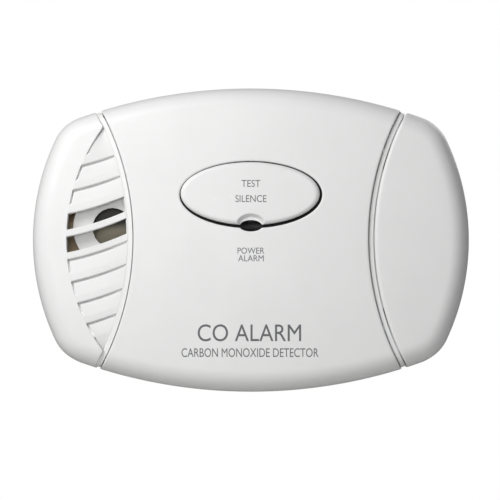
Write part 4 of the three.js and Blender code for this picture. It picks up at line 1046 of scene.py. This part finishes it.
def metal_material(name, color, roughness):
    """Bare metal with faint smudges in its roughness and colour, and sharp edges painted brighter as a
    highlight.
    """
    material, nodes, links, shader = plain_material(name, color, roughness)
    shader.inputs["Metallic"].default_value = 1.0
    texture = use_group(nodes, GRAIN_GROUP, Size=0.2)
    edges = use_group(nodes, EDGE_WEAR_AND_HIGHLIGHT_GROUP, Amount=0.6)
    smudge = ramp_node(nodes, links, texture.outputs["Mottle"], 0.3, 0.7)
    darker = tuple(c * 0.8 for c in color)
    tinted = mix_colour(nodes, links, smudge, color, darker)
    # Sharp edges are painted brighter: a painted highlight.
    edge_highlight_tone = tuple(min(1, c * 1.1) for c in color)
    edge_highlighted = mix_colour(nodes, links, edges.outputs["Mask"], tinted, edge_highlight_tone)
    links.new(edge_highlighted, shader.inputs["Base Color"])
    uneven = math_node(nodes, links, "MULTIPLY_ADD", texture.outputs["Mottle"], 0.25)
    uneven.node.inputs[2].default_value = roughness - 0.1
    links.new(uneven, shader.inputs["Roughness"])
    return material


def disc_material():
    """A brass disc in a dark olive with a faint mottle; towards its upper half the colour is darkened
    to near black, a painted shadow of the horn and the cover above it.
    """
    material, nodes, links, shader = plain_material("brass_disc", (0.2, 0.18, 0.12), 0.5)
    shader.inputs["Metallic"].default_value = 0.3
    place = nodes.new("ShaderNodeTexCoord")
    parts = nodes.new("ShaderNodeSeparateXYZ")
    links.new(place.outputs["Object"], parts.inputs["Vector"])
    # Painted shadow: the disc's upper half is darkened towards near black.
    upper = ramp_node(nodes, links, parts.outputs["Z"], 0.0030, 0.0062)
    texture = use_group(nodes, GRAIN_GROUP, Size=0.25)
    olive_mottle = mix_colour(nodes, links, texture.outputs["Mottle"], (0.19, 0.17, 0.12), (0.26, 0.235, 0.17))
    links.new(mix_colour(nodes, links, upper, olive_mottle, (0.035, 0.034, 0.028)), shader.inputs["Base Color"])
    return material


def board_material():
    """Solder resist over copper traces: a tan laminate with paths along two directions."""
    material, nodes, links, shader = plain_material("board_laminate", (0.3, 0.22, 0.1), 0.45)
    place = nodes.new("ShaderNodeTexCoord")
    pattern = nodes.new("ShaderNodeTexVoronoi")
    pattern.distance = "CHEBYCHEV"
    pattern.feature = "F1"
    pattern.inputs["Scale"].default_value = 260.0
    links.new(place.outputs["Object"], pattern.inputs["Vector"])
    path = ramp_node(nodes, links, pattern.outputs["Distance"], 0.36, 0.4)
    texture = use_group(nodes, GRAIN_GROUP, Size=0.3)
    base = mix_colour(nodes, links, texture.outputs["Mottle"], (0.68, 0.47, 0.24), (0.78, 0.56, 0.3))
    links.new(mix_colour(nodes, links, path, base, (0.78, 0.62, 0.38)), shader.inputs["Base Color"])
    bump = nodes.new("ShaderNodeBump")
    bump.inputs["Strength"].default_value = 0.3
    bump.inputs["Distance"].default_value = 0.04 * MM
    links.new(path, bump.inputs["Height"])
    links.new(bump.outputs["Normal"], shader.inputs["Normal"])
    return material


def lamp_material(name, color):
    """Tinted clear plastic, unlit."""
    material, nodes, links, shader = plain_material(name, color, 0.15)
    shader.inputs["Coat Weight"].default_value = 0.5
    texture = use_group(nodes, GRAIN_GROUP, Size=0.5)
    deeper = tuple(c * 0.7 for c in color)
    tinted = mix_colour(nodes, links, texture.outputs["Mottle"], color, deeper)
    links.new(tinted, shader.inputs["Base Color"])
    return material


def felt_material():
    """White filter felt: fine fibres in the bump."""
    material, nodes, links, shader = plain_material("filter_felt", (0.7, 0.7, 0.68), 0.9)
    texture = use_group(nodes, GRAIN_GROUP, Size=0.15)
    fibres = mix_colour(nodes, links, texture.outputs["Height"], (0.6, 0.6, 0.58), (0.8, 0.8, 0.78))
    links.new(fibres, shader.inputs["Base Color"])
    bump = nodes.new("ShaderNodeBump")
    bump.inputs["Strength"].default_value = 0.8
    bump.inputs["Distance"].default_value = 0.1 * MM
    links.new(texture.outputs["Height"], bump.inputs["Height"])
    links.new(bump.outputs["Normal"], shader.inputs["Normal"])
    return material


def cell_material():
    """Printed shrink sleeve of a cell: dark with one lighter band near the positive end."""
    material, nodes, links, shader = plain_material("cell_jacket", (0.02, 0.02, 0.025), 0.3)
    place = nodes.new("ShaderNodeTexCoord")
    parts = nodes.new("ShaderNodeSeparateXYZ")
    links.new(place.outputs["Object"], parts.inputs["Vector"])
    high = math_node(nodes, links, "ABSOLUTE", parts.outputs["Z"])
    band = ramp_node(nodes, links, high, 0.0135, 0.0138)
    texture = use_group(nodes, GRAIN_GROUP, Size=0.4)
    dark = mix_colour(nodes, links, texture.outputs["Mottle"], (0.018, 0.02, 0.028), (0.03, 0.03, 0.04))
    links.new(mix_colour(nodes, links, band, dark, (0.55, 0.42, 0.2)), shader.inputs["Base Color"])
    return material


INNER_PLASTIC = moulded_plastic("inner_plastic", (0.8, 0.8, 0.78), 0.5, dust=0.6)
BLACK_PLASTIC = moulded_plastic("black_plastic", (0.02, 0.02, 0.021), 0.4, dust=0.5)
STEEL = metal_material("bright_steel", (0.62, 0.61, 0.6), 0.3)
FINISHES = {
    "rear_housing": WHITE_CASE,
    "wall_bracket": INNER_PLASTIC,
    "circuit_board": board_material(),
    "horn_housing": moulded_plastic("horn_plastic", (0.82, 0.82, 0.8), 0.45),
    "piezo_disc": disc_material(),
    "horn_contact_centre": STEEL,
    "horn_contact_rim": STEEL,
    "sensor_body": STEEL,
    "sensor_filter": felt_material(),
    "sensor_cap": BLACK_PLASTIC,
    "switch_body": BLACK_PLASTIC,
    "switch_stem": INNER_PLASTIC,
    "led_holder": BLACK_PLASTIC,
    "led_green": lamp_material("green_lamp", (0.05, 0.35, 0.08)),
    "led_red": lamp_material("red_lamp", (0.45, 0.03, 0.02)),
    "microcontroller": BLACK_PLASTIC,
    "horn_transformer": BLACK_PLASTIC,
    "capacitor_large": BLACK_PLASTIC,
    "capacitor_small": BLACK_PLASTIC,
    "cell_inner": cell_material(),
    "cell_outer": bpy.data.materials["cell_jacket"],
    "terminal_negative": STEEL,
    "terminal_positive": STEEL,
    "bridge_contact": STEEL,
    "spring_inner": STEEL,
    "spring_outer": STEEL,
    "lead_black": moulded_plastic("black_wire", (0.02, 0.02, 0.02), 0.4, relief=0.002),
    "lead_red": moulded_plastic("red_wire", (0.5, 0.03, 0.02), 0.4, relief=0.002),
    "rear_label": moulded_plastic("label_paper", (0.75, 0.75, 0.72), 0.6, relief=0.002),
}
for number in range(1, 5):
    FINISHES[f"case_screw_{number}"] = STEEL
for number in range(1, 4):
    FINISHES[f"board_screw_{number}"] = STEEL
for node, material in FINISHES.items():
    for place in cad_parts[node].material_slots:
        place.material = material
